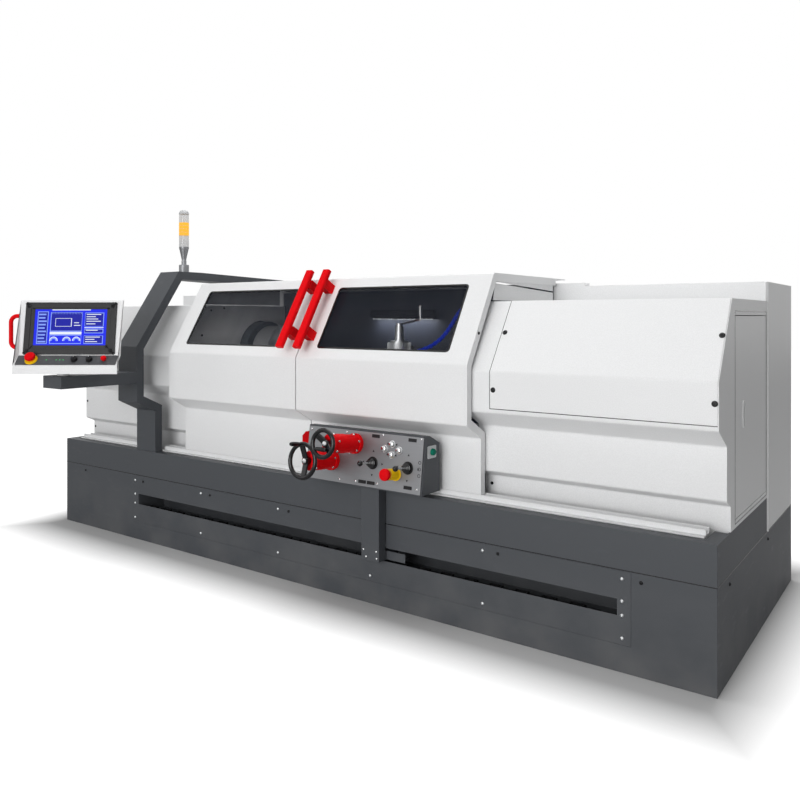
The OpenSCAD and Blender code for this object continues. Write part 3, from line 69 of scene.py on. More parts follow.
def lean(degrees):
    """Turns a drawing upright, so that its normal faces the operator, and leans it back."""
    return Matrix.Rotation(math.radians(90 - degrees), 4, "X")


def turn(degrees, axis="Z"):
    """Turn about one axis."""
    return Matrix.Rotation(math.radians(degrees), 4, axis)


FRONT = lean(0)
RIGHT = turn(90, "Y")
SLOPE = spot(0, -760, 1112) @ lean(30.6)
PANEL_SLOPE = spot(0, -715, 1085) @ lean(math.degrees(math.atan2(195, 295)))
POD = spot(165, -820, 550) @ lean(math.degrees(math.asin(32 / 251)))
PENDANT = spot(-1181, -1243, 1016) @ turn(36) @ spot(57, 0, 0)
KEYS = PENDANT @ spot(0, -120, 45) @ lean(46.17)
SCREEN = PENDANT @ spot(0, -70, 93) @ lean(8.84)
SIGNAL = spot(-1181, -456, 1583)
SWITCH = spot(830, -742, 729) @ RIGHT

BASE_END = 2000
BASE_FRONT = -736
PLUG_Z = 345
TRAY_JOINT_Z = 378.4
PANEL_FRONT = -715.9
LOCK_X = (1117, 1987)
KEY_ROW = 34.65
DISPLAY_UP = 149.2
POD_SKIN = 4
POD_PRINT = 3.9
STICK_PIVOT = -18
JOG_MIDDLE = (496, 181)
ARM_SCREWS = ((494, 262), (566, 262), (508, 231), (568, 231))

# Each hood's side, then the middle of its window, its handle bar and its end sheet along X
HOODS = (("left", -443, -4, -918), ("right", 533, 94, 1006))

# Each stick's name, its place on the pod's face and how far out its arrows are printed
STICKS = (("joystick", 396, 112, 52), ("feed_lever", 587, 111, 54))

# Each jog button's name and its place on the pod's face
JOGS = (("up", 496, 204), ("left", 456, 181), ("right", 536, 181), ("down", 496, 158))

# Each handwheel's name, place on the pod's face, radius, housing length, spoke angle and folded grip
WHEELS = (("upper", (290, 188), 68, 184, 140, True), ("lower", (160, 100), 84, 160, 100, False))


# Modelling steps

WELD = 1e-5
FLAT = math.radians(0.5)
BROKEN_EDGE = math.radians(32)
SMOOTH_EDGE = math.radians(40)
SHORTEST_FOLD = 0.12


def only(*objects):
    """Makes these objects the whole selection."""
    bpy.ops.object.select_all(action="DESELECT")
    for item in objects:
        item.select_set(True)
    bpy.context.view_layer.objects.active = objects[0]


def begin(kind, scale=(1, 1, 1), **how):
    """Adds a primitive at its size and opens it in edit mode."""
    bpy.ops.object.select_all(action="DESELECT")
    getattr(bpy.ops.mesh, f"primitive_{kind}_add")(**how)
    piece = bpy.context.object
    piece.scale = scale
    bpy.ops.object.transform_apply(location=True, rotation=True, scale=True)
    bpy.ops.object.mode_set(mode="EDIT")
    return piece


def done(piece):
    """Turns the faces outwards and leaves edit mode."""
    bpy.ops.mesh.select_all(action="SELECT")
    bpy.ops.mesh.normals_make_consistent(inside=False)
    bpy.ops.object.mode_set(mode="OBJECT")
    return piece


def pick(kind, test):
    """Selects the vertices, edges or faces that pass a test on their place or normal."""
    bpy.ops.mesh.select_mode(type=kind)
    bpy.ops.mesh.select_all(action="DESELECT")
    mesh = bpy.context.edit_object.data
    work = bmesh.from_edit_mesh(mesh)
    for item in {"VERT": work.verts, "EDGE": work.edges, "FACE": work.faces}[kind]:
        if test(item):
            item.select_set(True)
    bmesh.update_edit_mesh(mesh)


def draw_out(x=0.0, y=0.0, z=0.0):
    """Extrudes the selected faces by a step in millimetres."""
    bpy.ops.mesh.extrude_region_move(TRANSFORM_OT_translate={"value": (x * MM, y * MM, z * MM)})


def modify(piece, kind, **settings):
    """Adds a modifier and applies it."""
    step = piece.modifiers.new(kind.title(), kind)
    for key, value in settings.items():
        setattr(step, key, value)
    only(piece)
    bpy.ops.object.modifier_apply(modifier=step.name)


def soften(piece, edge=0.0):
    """Breaks the sharp edges, where a width is given, and shades the rest smooth."""
    if edge:
        modify(piece, "BEVEL", width=edge * MM, segments=3, limit_method="ANGLE", angle_limit=BROKEN_EDGE,
               use_clamp_overlap=True)
    only(piece)
    bpy.ops.object.shade_smooth_by_angle(angle=SMOOTH_EDGE)
    modify(piece, "WEIGHTED_NORMAL", keep_sharp=True)
    return piece


def turned(stations, steps):
    """Turns a profile of (radius, height) about Z: a disc is drawn out and resized from station to station."""
    radius, height = stations[0]
    piece = begin("circle", vertices=steps, radius=radius * MM, fill_type="NGON", location=(0, 0, height * MM))
    bpy.ops.mesh.select_all(action="SELECT")
    for wide, high in stations[1:]:
        draw_out(z=high - height)
        grow = wide / radius
        bpy.ops.transform.resize(value=(grow, grow, 1), center_override=(0, 0, 0))
        radius, height = wide, high
    return done(piece)


def spun(stations, steps):
    """A turned piece, shaded smooth."""
    return soften(turned(stations, steps))


def block(size, edge, steps, at=(0, 0, 0)):
    """A block with rounded edges, its middle at a place."""
    piece = begin("cube", size=1, location=Vector(at) * MM, scale=Vector(size) * MM)
    bpy.ops.mesh.select_all(action="SELECT")
    bpy.ops.mesh.bevel(offset=edge * MM, segments=steps, affect="EDGES")
    return done(piece)


def plate(width, height, corner, thick, edge, ring=0.0):
    """A flat plate with round corners, drawn up from Z = 0, or a ring of some width."""
    piece = begin("plane", size=1, scale=(width * MM, height * MM, 1))
    bpy.ops.mesh.select_all(action="SELECT")
    bpy.ops.mesh.bevel(offset=corner * MM, segments=6, affect="VERTICES")
    if ring:
        bpy.ops.mesh.select_mode(type="FACE")
        bpy.ops.mesh.select_all(action="SELECT")
        bpy.ops.mesh.inset(thickness=ring * MM)
        bpy.ops.mesh.delete(type="FACE")
    bpy.ops.mesh.select_all(action="SELECT")
    draw_out(z=thick)
    return soften(done(piece), edge)


def placed(piece, place):
    """Moves a piece and keeps its place in its mesh."""
    piece.matrix_world = place
    only(piece)
    bpy.ops.object.transform_apply(location=True, rotation=True, scale=True)
    return piece


def joined(*pieces):
    """Makes one piece of several."""
    only(*pieces)
    if len(pieces) > 1:
        bpy.ops.object.join()
    return pieces[0]


def stamped(master, places):
    """Copies a master to each place, every copy with its own mesh, and joins the copies."""
    copies = []
    for place in places:
        copy = master.copy()
        copy.data = master.data.copy()
        bpy.context.collection.objects.link(copy)
        copies.append(placed(copy, place))
    bpy.data.objects.remove(master)
    return joined(*copies)


def dress(piece, name, look, body, *nodes, slot, place=Matrix()):
    """Places, names and coats a piece, and hangs it on its body instead of the solids it stands for."""
    placed(piece, place)
    piece.name = name
    piece.data.name = name
    piece.data.materials.clear()
    piece.data.materials.append(finish(look))
    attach(piece, body)
    if nodes:
        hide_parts(*nodes)


def bend_line(edge):
    """True for a long edge along X where two sheet faces meet at a fold."""
    run = edge.verts[1].co - edge.verts[0].co
    if len(edge.link_faces) != 2 or abs(run.x) < SHORTEST_FOLD or abs(run.x) < 0.99 * run.length:
        return False
    return math.radians(18) < edge.calc_face_angle(0) < math.radians(80)


def skin(node, look, edge, bend=0.0, *, slot, place=Matrix(), shape=None):
    """Copies a solid, merges its loose triangles, shapes it where it was drawn and breaks its edges."""
    piece = bpy.data.objects.new(node, frame["nodes"][node].data.copy())
    bpy.context.collection.objects.link(piece)
    placed(piece, place.inverted())
    bpy.ops.mesh.customdata_custom_splitnormals_clear()
    bpy.ops.object.mode_set(mode="EDIT")
    bpy.ops.mesh.select_all(action="SELECT")
    bpy.ops.mesh.remove_doubles(threshold=WELD)
    bpy.ops.mesh.dissolve_limited(angle_limit=FLAT)
    if bend:
        pick("EDGE", bend_line)
        bpy.ops.mesh.bevel(offset=bend * MM, segments=4, affect="EDGES")
    if shape:
        shape()
    bpy.ops.object.mode_set(mode="OBJECT")
    soften(piece, edge)
    dress(piece, node + "_skin", look, BODY[node], node, slot=slot, place=place)


def coat(look, *nodes):
    """Gives carried-over solids their finish."""
    for node in nodes:
        for holder in frame["nodes"][node].material_slots:
            holder.material = finish(look)


# Finishes

class Value:
    """A socket of a finish, ready for plain maths."""

    def __init__(self, owner, socket):
        self.owner = owner
        self.socket = socket

    def math(self, operation, first, second=0.0):
        """A math node on two values."""
        return self.owner.node("Math", {"operation": operation}, {0: first, 1: second})

    def __add__(self, other):
        return self.math("ADD", self, other)

    def __radd__(self, other):
        return self.math("ADD", other, self)

    def __sub__(self, other):
        return self.math("SUBTRACT", self, other)

    def __rsub__(self, other):
        return self.math("SUBTRACT", other, self)

    def __mul__(self, other):
        return self.math("MULTIPLY", self, other)

    def __abs__(self):
        return self.math("ABSOLUTE", self)

    def most(self, other):
        """The larger of two values."""
        return self.math("MAXIMUM", self, other)


class Finish:
    """A material and the nodes that make it."""

    def __init__(self, name):
        self.material = bpy.data.materials.new(name)
        self.material.use_nodes = True
        self.tree = self.material.node_tree
        self.shader = self.tree.nodes["Principled BSDF"]
        self.place = self.node("TexCoord", {}, {}, "Object")

    def node(self, kind, settings, inputs, out=0):
        """Adds a node, sets it up and feeds its sockets."""
        made = self.tree.nodes.new("ShaderNode" + kind)
        for key, value in settings.items():
            setattr(made, key, value)
        for key, value in inputs.items():
            self.feed(made.inputs[key], value)
        return Value(self, made.outputs[out])

    def feed(self, socket, value):
        """Links a value to a socket, or sets a constant on it."""
        if isinstance(value, Value):
            self.tree.links.new(value.socket, socket)
        else:
            socket.default_value = value

    def noise(self, scale, detail, stretch=(1, 1, 1), tilt=(0, 0, 0)):
        """Cloudy pattern, from 0 to 1, stretched along the axes with a low factor."""
        at = self.node("Mapping", {}, {"Vector": self.place, "Scale": stretch, "Rotation": tilt})
        return self.node("TexNoise", {}, {"Vector": at, "Scale": scale, "Detail": detail})

    def part(self, axis):
        """One coordinate of the place on the piece, in metres."""
        return self.node("SeparateXYZ", {}, {0: self.place}, axis)

    def span(self, value, low, high):
        """A value carried from low..high to 0..1."""
        return self.node("MapRange", {"clamp": True}, {"Value": value, "From Min": low, "From Max": high})

    def mix(self, factor, first, second):
        """Blend of two colours."""
        pair = [c if isinstance(c, Value) else (*c[:3], 1.0) for c in (first, second)]
        return self.node("Mix", {"data_type": "RGBA"}, {0: factor, 6: pair[0], 7: pair[1]}, 2)

    def bump(self, height, strength, depth):
        """Relief of a height pattern, in metres."""
        return self.node("Bump", {}, {"Height": height, "Strength": strength, "Distance": depth})

    def set(self, values):
        """Feeds the shader and gives the finished material."""
        for key, value in values.items():
            if not isinstance(value, Value) and "Color" in key:
                value = (*value[:3], 1.0)
            self.feed(self.shader.inputs[key], value)
        return self.material


def shade(colour, by):
    """A colour made darker or lighter."""
    return tuple(min(1.0, c * by) for c in colour)


def sprayed(name, colour, rough, grain, relief, wear=0.12):
    """Sprayed metal: cloudy coat, fine grain, rubbed patches and a little dust near the floor."""
    f = Finish(name)
    cloud = f.noise(1.7, 4)
    grit = f.noise(grain, 2)
    rub = f.span(f.noise(9, 8, (1, 1, 3)), 0.60, 0.74)
    dust = f.span(f.part("Z"), 0.35, 0.0) * f.span(f.noise(5, 6), 0.35, 0.7)
    base = f.mix(cloud, shade(colour, 0.96), shade(colour, 1.03))
    speck = f.mix(f.span(grit, 0.42, 0.62), shade(colour, 0.93), base)
    worn = f.mix(rub * wear, speck, shade(colour, 1.25))
    grey = f.mix(dust * wear, worn, (0.42, 0.41, 0.39))
    return f.set({"Base Color": grey, "Roughness": rough + cloud * 0.10 - rub * 0.08,
                  "Normal": f.bump(grit, relief, 0.0006), "Specular IOR Level": 0.4})


def enamel(name, colour, rough=0.22, shine=0.02):
    """Gloss enamel or moulded gloss plastic with faint flow marks and handling marks."""
    f = Finish(name)
    flow = f.noise(30, 3)
    touch = f.span(f.noise(60, 6), 0.55, 0.75)
    tone = f.mix(flow, shade(colour, 0.88), shade(colour, 1.06))
    return f.set({"Base Color": f.mix(touch * 0.15, tone, shade(colour, 0.7)), "Roughness": rough + touch * 0.14,
                  "Normal": f.bump(f.noise(260, 2), 0.05, 0.0004), "Specular IOR Level": shine})


def moulded(name, colour, rough=0.42):
    """Moulded plastic with a fine leather grain and rubbed, paler high spots."""
    f = Finish(name)
    grain = f.node("TexVoronoi", {}, {"Vector": f.place, "Scale": 900.0})
    rub = f.span(f.noise(40, 6), 0.5, 0.75)
    tone = f.mix(rub, colour, tuple(c * 1.25 + 0.006 for c in colour))
    return f.set({"Base Color": tone, "Roughness": rough + rub * 0.12, "Normal": f.bump(grain, 0.12, 0.0003),
                  "Specular IOR Level": 0.22})


def metal(name, colour, rough, lines, scale, strength=0.10, bare=1.0):
    """Bare metal with machining lines along one axis, dull patches and fine scratches."""
    f = Finish(name)
    drawn = f.noise(scale, 3, lines)
    dull = f.noise(7, 5)
    scratch = f.span(f.noise(420, 2, (1, 0.02, 1), (0.3, 0.5, 0.9)), 0.68, 0.76)
    tone = f.mix(drawn, shade(colour, 0.86), shade(colour, 1.08))
    tone = f.mix(f.span(dull, 0.45, 0.75) * 0.25, tone, shade(colour, 0.72))
    return f.set({"Base Color": f.mix(scratch * 0.3, tone, shade(colour, 1.2)), "Metallic": bare,
                  "Roughness": rough + drawn * 0.12 + dull * 0.08, "Normal": f.bump(drawn, strength, 0.0003)})


def casting(name, colour, ground, low, high):
    """Painted casting whose ground ways, between two heights, are bare."""
    f = Finish(name)
    height = f.part("Z")
    bare = f.span(height, low, low + 0.002) * f.span(height, high, high - 0.002)
    rough_skin = f.noise(130, 4)
    oil = f.span(f.noise(6, 6), 0.45, 0.7)
    paint = f.mix(rough_skin, shade(colour, 0.85), shade(colour, 1.1))
    paint = f.mix(oil * 0.5, paint, shade(colour, 0.5))
    steel = f.mix(f.noise(500, 2, (0.02, 1, 1)), shade(ground, 0.8), ground)
    return f.set({"Base Color": f.mix(bare, paint, steel), "Metallic": bare * 0.95,
                  "Roughness": 0.48 - bare * 0.16 - oil * 0.12,
                  "Normal": f.bump(rough_skin * (1 - bare), 0.2, 0.0006)})


def smoked(name, colour, pale, high, low, solid, thin, shine):
    """Pane that grows paler and thinner from one height down to another, with wiped streaks and dried drops. On
    the windows the darker, more solid top is painted shade of the dim inside.
    """
    f = Finish(name)
    wipe = f.span(f.noise(11, 5, (1, 0.25, 0.25), (0.4, 0, 0.5)), 0.5, 0.8)
    drops = f.span(f.node("TexVoronoi", {}, {"Vector": f.place, "Scale": 28.0}), 0.06, 0.04)
    # Darker and more solid towards the top: on the windows this is painted shade.
    down = f.span(f.part("Z"), high, low)
    tone = f.mix(wipe * 0.25 + drops * 0.15, f.mix(down, colour, pale), tuple(c + 0.05 for c in pale))
    return f.set({"Base Color": tone, "Roughness": 0.04 + wipe * 0.05 + drops * 0.2,
                  "Alpha": solid - down * thin + wipe * 0.06 + drops * 0.05, "Specular IOR Level": shine})


def cabinet_with_painted_shade(name, pale, dark):
    """Coat of the rear cabinet: pale outside, with painted shade making the wall behind the work dark."""
    f = Finish(name)
    cloud = f.noise(1.7, 4)
    grit = f.noise(330, 2)
    # Mask of the wall behind the work, which is painted dark as shade.
    shaded_wall_mask = f.span(f.part("Y"), 0.138, 0.132) * f.span(f.part("X"), -0.91, -0.90)
    shaded_wall_mask = shaded_wall_mask * f.span(f.part("X"), 1.005, 0.995)
    outside = f.mix(cloud, shade(pale, 0.96), shade(pale, 1.02))
    outside = f.mix(f.span(grit, 0.42, 0.62), shade(pale, 0.93), outside)
    return f.set({"Base Color": f.mix(shaded_wall_mask, outside, dark), "Roughness": 0.36 + cloud * 0.1,
                  "Normal": f.bump(grit, 0.05, 0.0006), "Specular IOR Level": 0.4})


def lit(name, colour, strength, cells=0.0):
    """Lit face: uneven backlight and, where a scale is given, a faint cell pattern."""
    f = Finish(name)
    back = f.noise(12, 3)
    glow = f.mix(back, shade(colour, 0.86), shade(colour, 1.05))
    if cells:
        fine = f.node("TexChecker", {}, {"Vector": f.place, "Scale": cells}, "Fac")
        glow = f.mix(fine * 0.12, glow, shade(colour, 0.7))
    return f.set({"Base Color": shade(colour, 0.15), "Emission Color": glow, "Emission Strength": strength,
                  "Roughness": 0.3 + back * 0.1, "Normal": f.bump(back, 0.02, 0.0005),
                  "Specular IOR Level": 0.08})


def glowing(name, colour, strength, level):
    """Ribbed lamp glass that shines only from its underside, below a level."""
    f = Finish(name)
    ribs = f.node("TexWave", {}, {"Vector": f.place, "Scale": 60.0}, "Fac")
    under = f.span(f.part("Z"), level + 0.0002, level)
    return f.set({"Base Color": f.mix(ribs, (0.02, 0.02, 0.02), (0.05, 0.05, 0.05)), "Roughness": 0.3 + ribs * 0.2,
                  "Emission Color": f.mix(under, (0, 0, 0), colour), "Emission Strength": strength,
                  "Normal": f.bump(ribs, 0.2, 0.0005)})


MADE = {}


def finish(name):
    """The finish of this name, made once from the colours in the panel."""
    if name in MADE:
        return MADE[name]
    c = bpy.context.scene.lathe_colours
    red = tuple(c.red)
    recipes = {
        "white": (sprayed, tuple(c.white), 0.36, 330.0, 0.05, 0.05),
        "dark": (sprayed, tuple(c.dark), 0.46, 700.0, 0.22),
        "gantry": (sprayed, tuple(c.gantry), 0.44, 700.0, 0.22),
        "red": (enamel, red),
        "red_block": (enamel, shade(red, 0.62), 0.34),
        "red_button": (enamel, shade(red, 0.92), 0.28),
        "yellow": (enamel, tuple(c.yellow), 0.36),
        "green": (enamel, tuple(c.green), 0.3),
        "blue": (enamel, tuple(c.blue), 0.3),
        "black": (moulded, (0.009, 0.009, 0.010)),
        "gloss_black": (enamel, (0.004, 0.004, 0.005), 0.14, 0.35),
        "rubber": (enamel, (0.007, 0.007, 0.008), 0.20, 0.45),
        "grey_plate": (moulded, (0.52, 0.53, 0.54), 0.4),
        "key_grey": (moulded, (0.070, 0.072, 0.076)),
        "pale": (moulded, (0.74, 0.75, 0.75), 0.35),
        "brushed": (metal, tuple(c.steel), 0.36, (0.02, 1, 1), 420.0),
        "steel": (metal, (0.66, 0.67, 0.68), 0.26, (1, 0.2, 0.2), 300.0),
        "turned": (metal, (0.56, 0.57, 0.59), 0.30, (1, 0.04, 0.04), 260.0, 0.10, 0.6),
        "chrome": (metal, (0.66, 0.665, 0.67), 0.07, (1, 1, 1), 90.0, 0.02),
        "iron": (casting, (0.14, 0.165, 0.19), (0.45, 0.46, 0.47), 0.768, 0.79),
        # The windows' dark, solid top fading to a pale, clear foot is painted shade of the inside.
        "pane": (smoked, tuple(c.pane), (0.030, 0.033, 0.045), 1.47, 1.22, 0.52, 0.42, 0.12),
        "clear": (smoked, (0.50, 0.51, 0.52), (0.36, 0.37, 0.38), 1.94, 1.74, 0.42, 0.0, 0.5),
        # The dark colour on the wall behind the work is painted shade.
        "cabinet": (cabinet_with_painted_shade, tuple(c.white), (0.040, 0.045, 0.062)),
        "amber": (lit, (1.0, 0.50, 0.05), 1.0),
        "diffuser": (glowing, (0.92, 0.96, 1.0), 26.0, 1.2986),
        "screen_blue": (lit, (0.008, 0.020, 0.80), 1.0, 900.0),
        "screen_deep": (lit, (0.006, 0.010, 0.36), 0.9, 900.0),
        "screen_pale": (lit, (0.24, 0.36, 0.95), 0.95, 900.0),
        "screen_white": (lit, (0.80, 0.86, 0.95), 0.95, 900.0),
        "lamp_green": (lit, (0.1, 0.8, 0.2), 0.6),
    }
    recipe, *values = recipes[name]
    MADE[name] = recipe(name, *values)
    return MADE[name]


# Settings

def colour_setting(name, description, default):
    """A colour in the panel."""
    return FloatVectorProperty(name=name, description=description, default=default, subtype="COLOR", size=3,
                               min=0, max=1)


class LatheColours(bpy.types.PropertyGroup):
    """Colours of the machine's finishes."""

    white: colour_setting("Sheet white", "Coat of the hoods, housings and cabinet", (0.84, 0.845, 0.85))
    dark: colour_setting("Base grey", "Coat of the base, tray and pod", (0.058, 0.063, 0.071))
    gantry: colour_setting("Gantry grey", "Coat of the gantry and pendant arm", (0.052, 0.057, 0.065))
    red: colour_setting("Handle red", "Enamel of the handles, grip and wheel housings", (0.80, 0.006, 0.010))
    yellow: colour_setting("Collar yellow", "Collars of the emergency stops", (0.95, 0.58, 0.01))
    green: colour_setting("Switch green", "Knob of the pod's side switch", (0.01, 0.17, 0.11))
    blue: colour_setting("Hose blue", "Beads of the coolant line", (0.010, 0.05, 0.80))
    steel: colour_setting("Face steel", "Brushed face of the pod", (0.24, 0.245, 0.255))
    # Tint at the top of the windows: partly real smoke, partly painted shade of the inside.
    pane: colour_setting("Pane smoke", "Tint of the windows", (0.006, 0.009, 0.016))


class LatheSizes(bpy.types.PropertyGroup):
    """Sizes of edges, trim and fasteners, in millimetres."""

    sheet_edge: FloatProperty(name="Sheet edge", description="Broken edge of sheet metal",
                              default=1.4, min=0.2, max=4)
    sheet_bend: FloatProperty(name="Sheet bend", description="Radius of a fold in sheet metal",
                              default=7, min=1, max=12)
    screw: FloatProperty(name="Screw head", description="Radius of a dome screw's head", default=7, min=4, max=9)
    seal: FloatProperty(name="Window seal", description="Width of a window's seal", default=9, min=4, max=16)
    cell: FloatProperty(name="Display cell", description="Width of a cell of the display", default=2, min=1, max=4)
    wheel_bolts: IntProperty(name="Housing bolts", description="Bolts in a ring round a wheel housing",
                             default=6, min=3, max=10)


def sizes():
    """The sizes in the panel."""
    return bpy.context.scene.lathe_sizes


# Fasteners

def dome_screw(r):
    """Dome head with a socket, by its radius."""
    return spun([(r, -1), (r, 0.14 * r), (0.93 * r, 0.36 * r), (0.72 * r, 0.60 * r), (0.46 * r, 0.72 * r),
                 (0.44 * r, 0.72 * r), (0.40 * r, 0.30 * r)], 16)


def cap_screw(r, height):
    """Straight cap head with a socket, by its radius and height."""
    return spun([(r, -2), (r, 0.86 * height), (0.88 * r, height), (0.52 * r, height), (0.48 * r, 0.45 * height)],
                16)


def quarter_turn():
    """Flat quarter-turn lock with a socket."""
    return spun([(11, -1), (11, 1.4), (9.5, 2.6), (4.5, 2.7), (4.0, 1.2)], 20)


# Stage

FLOOR_GREYS = ((0.59, 0.59, 0.59), (0.61, 0.61, 0.61))
FLOOR_GLOW = 0.95
AMBIENT = 0.22

# Each lamp's name, place, aim, size and power
LAMPS = (("key", (1.3, -7.0, 1.8), (0.5, -0.7, 0.8), 4.0, 262),
         ("fill", (-5.0, -5.0, 2.6), (-0.5, -0.6, 0.9), 3.5, 20),
         ("top", (0.3, 0.8, 6.5), (0.3, 0.3, 0.0), 5.0, 290))

CAMERA_AT = (2.6583, -3.5109, 1.3108)
CAMERA_HEADING = 35.79
CAMERA_SENSOR = 36
CAMERA_LENS = 34.58
CAMERA_SHIFT = -0.10375


def make_floor():
    """Pale floor that keeps the shadow, and that the camera sees as white further out; close to the machine its
    glow fades away, a painted shadow round the base.
    """
    floor = done(begin("grid", x_subdivisions=8, y_subdivisions=8, size=60, location=(0, 0, 0)))
    floor.name = "floor"
    f = Finish("floor_white")
    plain = f.set({"Base Color": f.mix(f.noise(0.6, 2), *FLOOR_GREYS), "Roughness": 0.8,
                   "Specular IOR Level": 0.0})
    # The glow grows with distance from the base's ends and front, so the floor darkens towards the machine:
    # painted shadow.
    beside = f.span(abs(f.part("X")) - BASE_END * MM, 0.0, 0.30)
    before = f.span(abs(f.part("Y")) - 0.74, 0.10, 0.50)
    seen = f.node("LightPath", {}, {}, "Is Camera Ray")
    glow = f.node("Emission", {}, {"Color": (1, 1, 1, 1), "Strength": seen * beside.most(before) * FLOOR_GLOW})
    both = f.node("AddShader", {}, {0: Value(f, f.shader.outputs[0]), 1: glow})
    f.feed(f.tree.nodes["Material Output"].inputs["Surface"], both)
    floor.data.materials.append(plain)


def make_sky(scene):
    """Sky that is white to the camera, through panes and in reflections, and a low ambient light otherwise."""
    world = bpy.data.worlds.new("studio")
    world.use_nodes = True
    scene.world = world
    nodes, links = world.node_tree.nodes, world.node_tree.links
    path = nodes.new("ShaderNodeLightPath")
    straight = nodes.new("ShaderNodeMath")
    straight.operation = "MAXIMUM"
    links.new(path.outputs["Is Camera Ray"], straight.inputs[0])
    links.new(path.outputs["Is Transmission Ray"], straight.inputs[1])
    white = nodes.new("ShaderNodeMath")
    white.operation = "ADD"
    white.use_clamp = True
    links.new(path.outputs["Is Glossy Ray"], white.inputs[0])
    links.new(straight.outputs[0], white.inputs[1])
    level = nodes.new("ShaderNodeMix")
    links.new(white.outputs[0], level.inputs["Factor"])
    level.inputs["A"].default_value = AMBIENT
    level.inputs["B"].default_value = 1.0
    sky = nodes["Background"]
    sky.inputs["Color"].default_value = (1, 1, 1, 1)
    links.new(level.outputs["Result"], sky.inputs["Strength"])


def make_lamps(collection):
    """Soft lamps of the studio."""
    for name, at, aim, size, power in LAMPS:
        lamp = bpy.data.lights.new(name, "AREA")
        lamp.energy = power
        lamp.size = size
        holder = bpy.data.objects.new(name, lamp)
        holder.location = at
        holder.rotation_euler = (Vector(aim) - Vector(at)).to_track_quat("-Z", "Y").to_euler()
        collection.objects.link(holder)


def make_camera(context):
    """Level camera whose picture is shifted down to the machine."""
    eye = bpy.data.cameras.new("camera")
    eye.sensor_width = CAMERA_SENSOR
    eye.lens = CAMERA_LENS
    eye.shift_y = CAMERA_SHIFT
    view = bpy.data.objects.new("camera", eye)
    view.location = CAMERA_AT
    view.rotation_euler = (math.radians(90), 0, math.radians(CAMERA_HEADING))
    context.collection.objects.link(view)
    context.scene.camera = view


class LATHE_OT_stage(bpy.types.Operator):
    """Adds the floor, the lamps, the sky and the camera"""

    bl_idname = "lathe.make_stage"
    bl_label = "Stage"

    def execute(self, context):
        context.scene.view_settings.view_transform = "Standard"
        make_floor()
        make_sky(context.scene)
        make_lamps(context.collection)
        make_camera(context)
        return {"FINISHED"}


# Base

class LATHE_OT_base(bpy.types.Operator):
    """Dresses the base, its slot plate and the chip tray, with their screws and plugs"""

    bl_idname = "lathe.make_base"
    bl_label = "Base and tray"

    def execute(self, context):
        s = sizes()
        for node in ("base_stand", "slot_plate", "chip_tray"):
            skin(node, "dark", s.sheet_edge, slot="dark_paint")
        coat("black", "drag_chain")
        columns = [-1274 + 588 * k for k in range(6)]
        holes = [(x, z) for x in columns for z in (346, 127)]
        holes += [(x, z) for x in (columns[0], columns[-1]) for z in (264, 211)]
        screws = stamped(dome_screw(s.screw), [spot(x, BASE_FRONT, z) @ FRONT for x, z in holes])
        dress(screws, "slot_plate_screws", "steel", "machine", slot="bright_steel")
        plugs = [spot(-1787 + 587.3 * k, BASE_FRONT, PLUG_Z) @ FRONT for k in range(7)]
        plugs += [spot(BASE_END, y, PLUG_Z) @ RIGHT for y in (-560, 140)]
        dress(stamped(dome_screw(s.screw), plugs), "base_plugs", "black", "machine", slot="black_plastic")
        # Dark strip along the joint of tray and base: painted shade for the shadow in that groove.
        shade_seams = [block((2 * BASE_END + 1.6, 1.6, 3.4), 0.3, 2, (0, BASE_FRONT, TRAY_JOINT_Z))]
        shade_seams += [block((1.6, -2 * BASE_FRONT, 3.4), 0.3, 2, (x, 0, TRAY_JOINT_Z)) for x in (-BASE_END, BASE_END)]
        dress(joined(*shade_seams), "tray_joint_shade_strip", "rubber", "machine", slot="black_plastic")
        return {"FINISHED"}


# Enclosure

def panel_trim():
    """Locks of the tail panel and a dark strip round its edge, painted shade for the shadow gap there."""
    locks = [spot(x, -718.2, 1010) @ FRONT for x in LOCK_X]
    locks += [PANEL_SLOPE @ spot(x, 190, 3.2) for x in LOCK_X]
    dress(stamped(quarter_turn(), locks), "tail_panel_locks", "black", "machine", slot="black_plastic")
    # Dark rubber strips stand for the shadow in the gap round the panel: painted shade.
    shadow_gap = [placed(block((2.4, 352, 2.6), 0.4, 2), PANEL_SLOPE @ spot(1100.6, 176, 0.9)),
              placed(block((2.4, 153, 2.6), 0.4, 2), spot(1100.6, PANEL_FRONT, 1008) @ FRONT),
              placed(block((897, 2.6, 2.6), 0.4, 2), spot(1548, PANEL_FRONT, 931.4) @ FRONT)]
    dress(joined(*shadow_gap), "tail_panel_shadow_gap", "rubber", "machine", slot="black_plastic")


def door_trim():
    """Seam round the side door and the liner of its finger pocket."""
    low, high = (Vector(corner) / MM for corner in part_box("side_door"))
    seam = plate(high.z - low.z + 5, high.y - low.y + 5, 2, 0.9, 0.2, 3.5)
    dress(seam, "side_door_seam", "rubber", "machine", slot="black_plastic",
          place=spot(1999.6, (low.y + high.y) / 2, (low.z + high.z) / 2) @ RIGHT)
    rim = placed(plate(34, 108, 16, 4.6, 1.2, 4), spot(1999.4, -335, 937) @ RIGHT @ turn(90))
    scoop = placed(plate(12, 92, 5, 0.8, 0.2), spot(1995, -334, 937) @ turn(-64) @ RIGHT @ turn(90))
    dress(joined(rim, scoop), "side_door_pocket_liner", "white", "side_door_body", slot="white_paint")


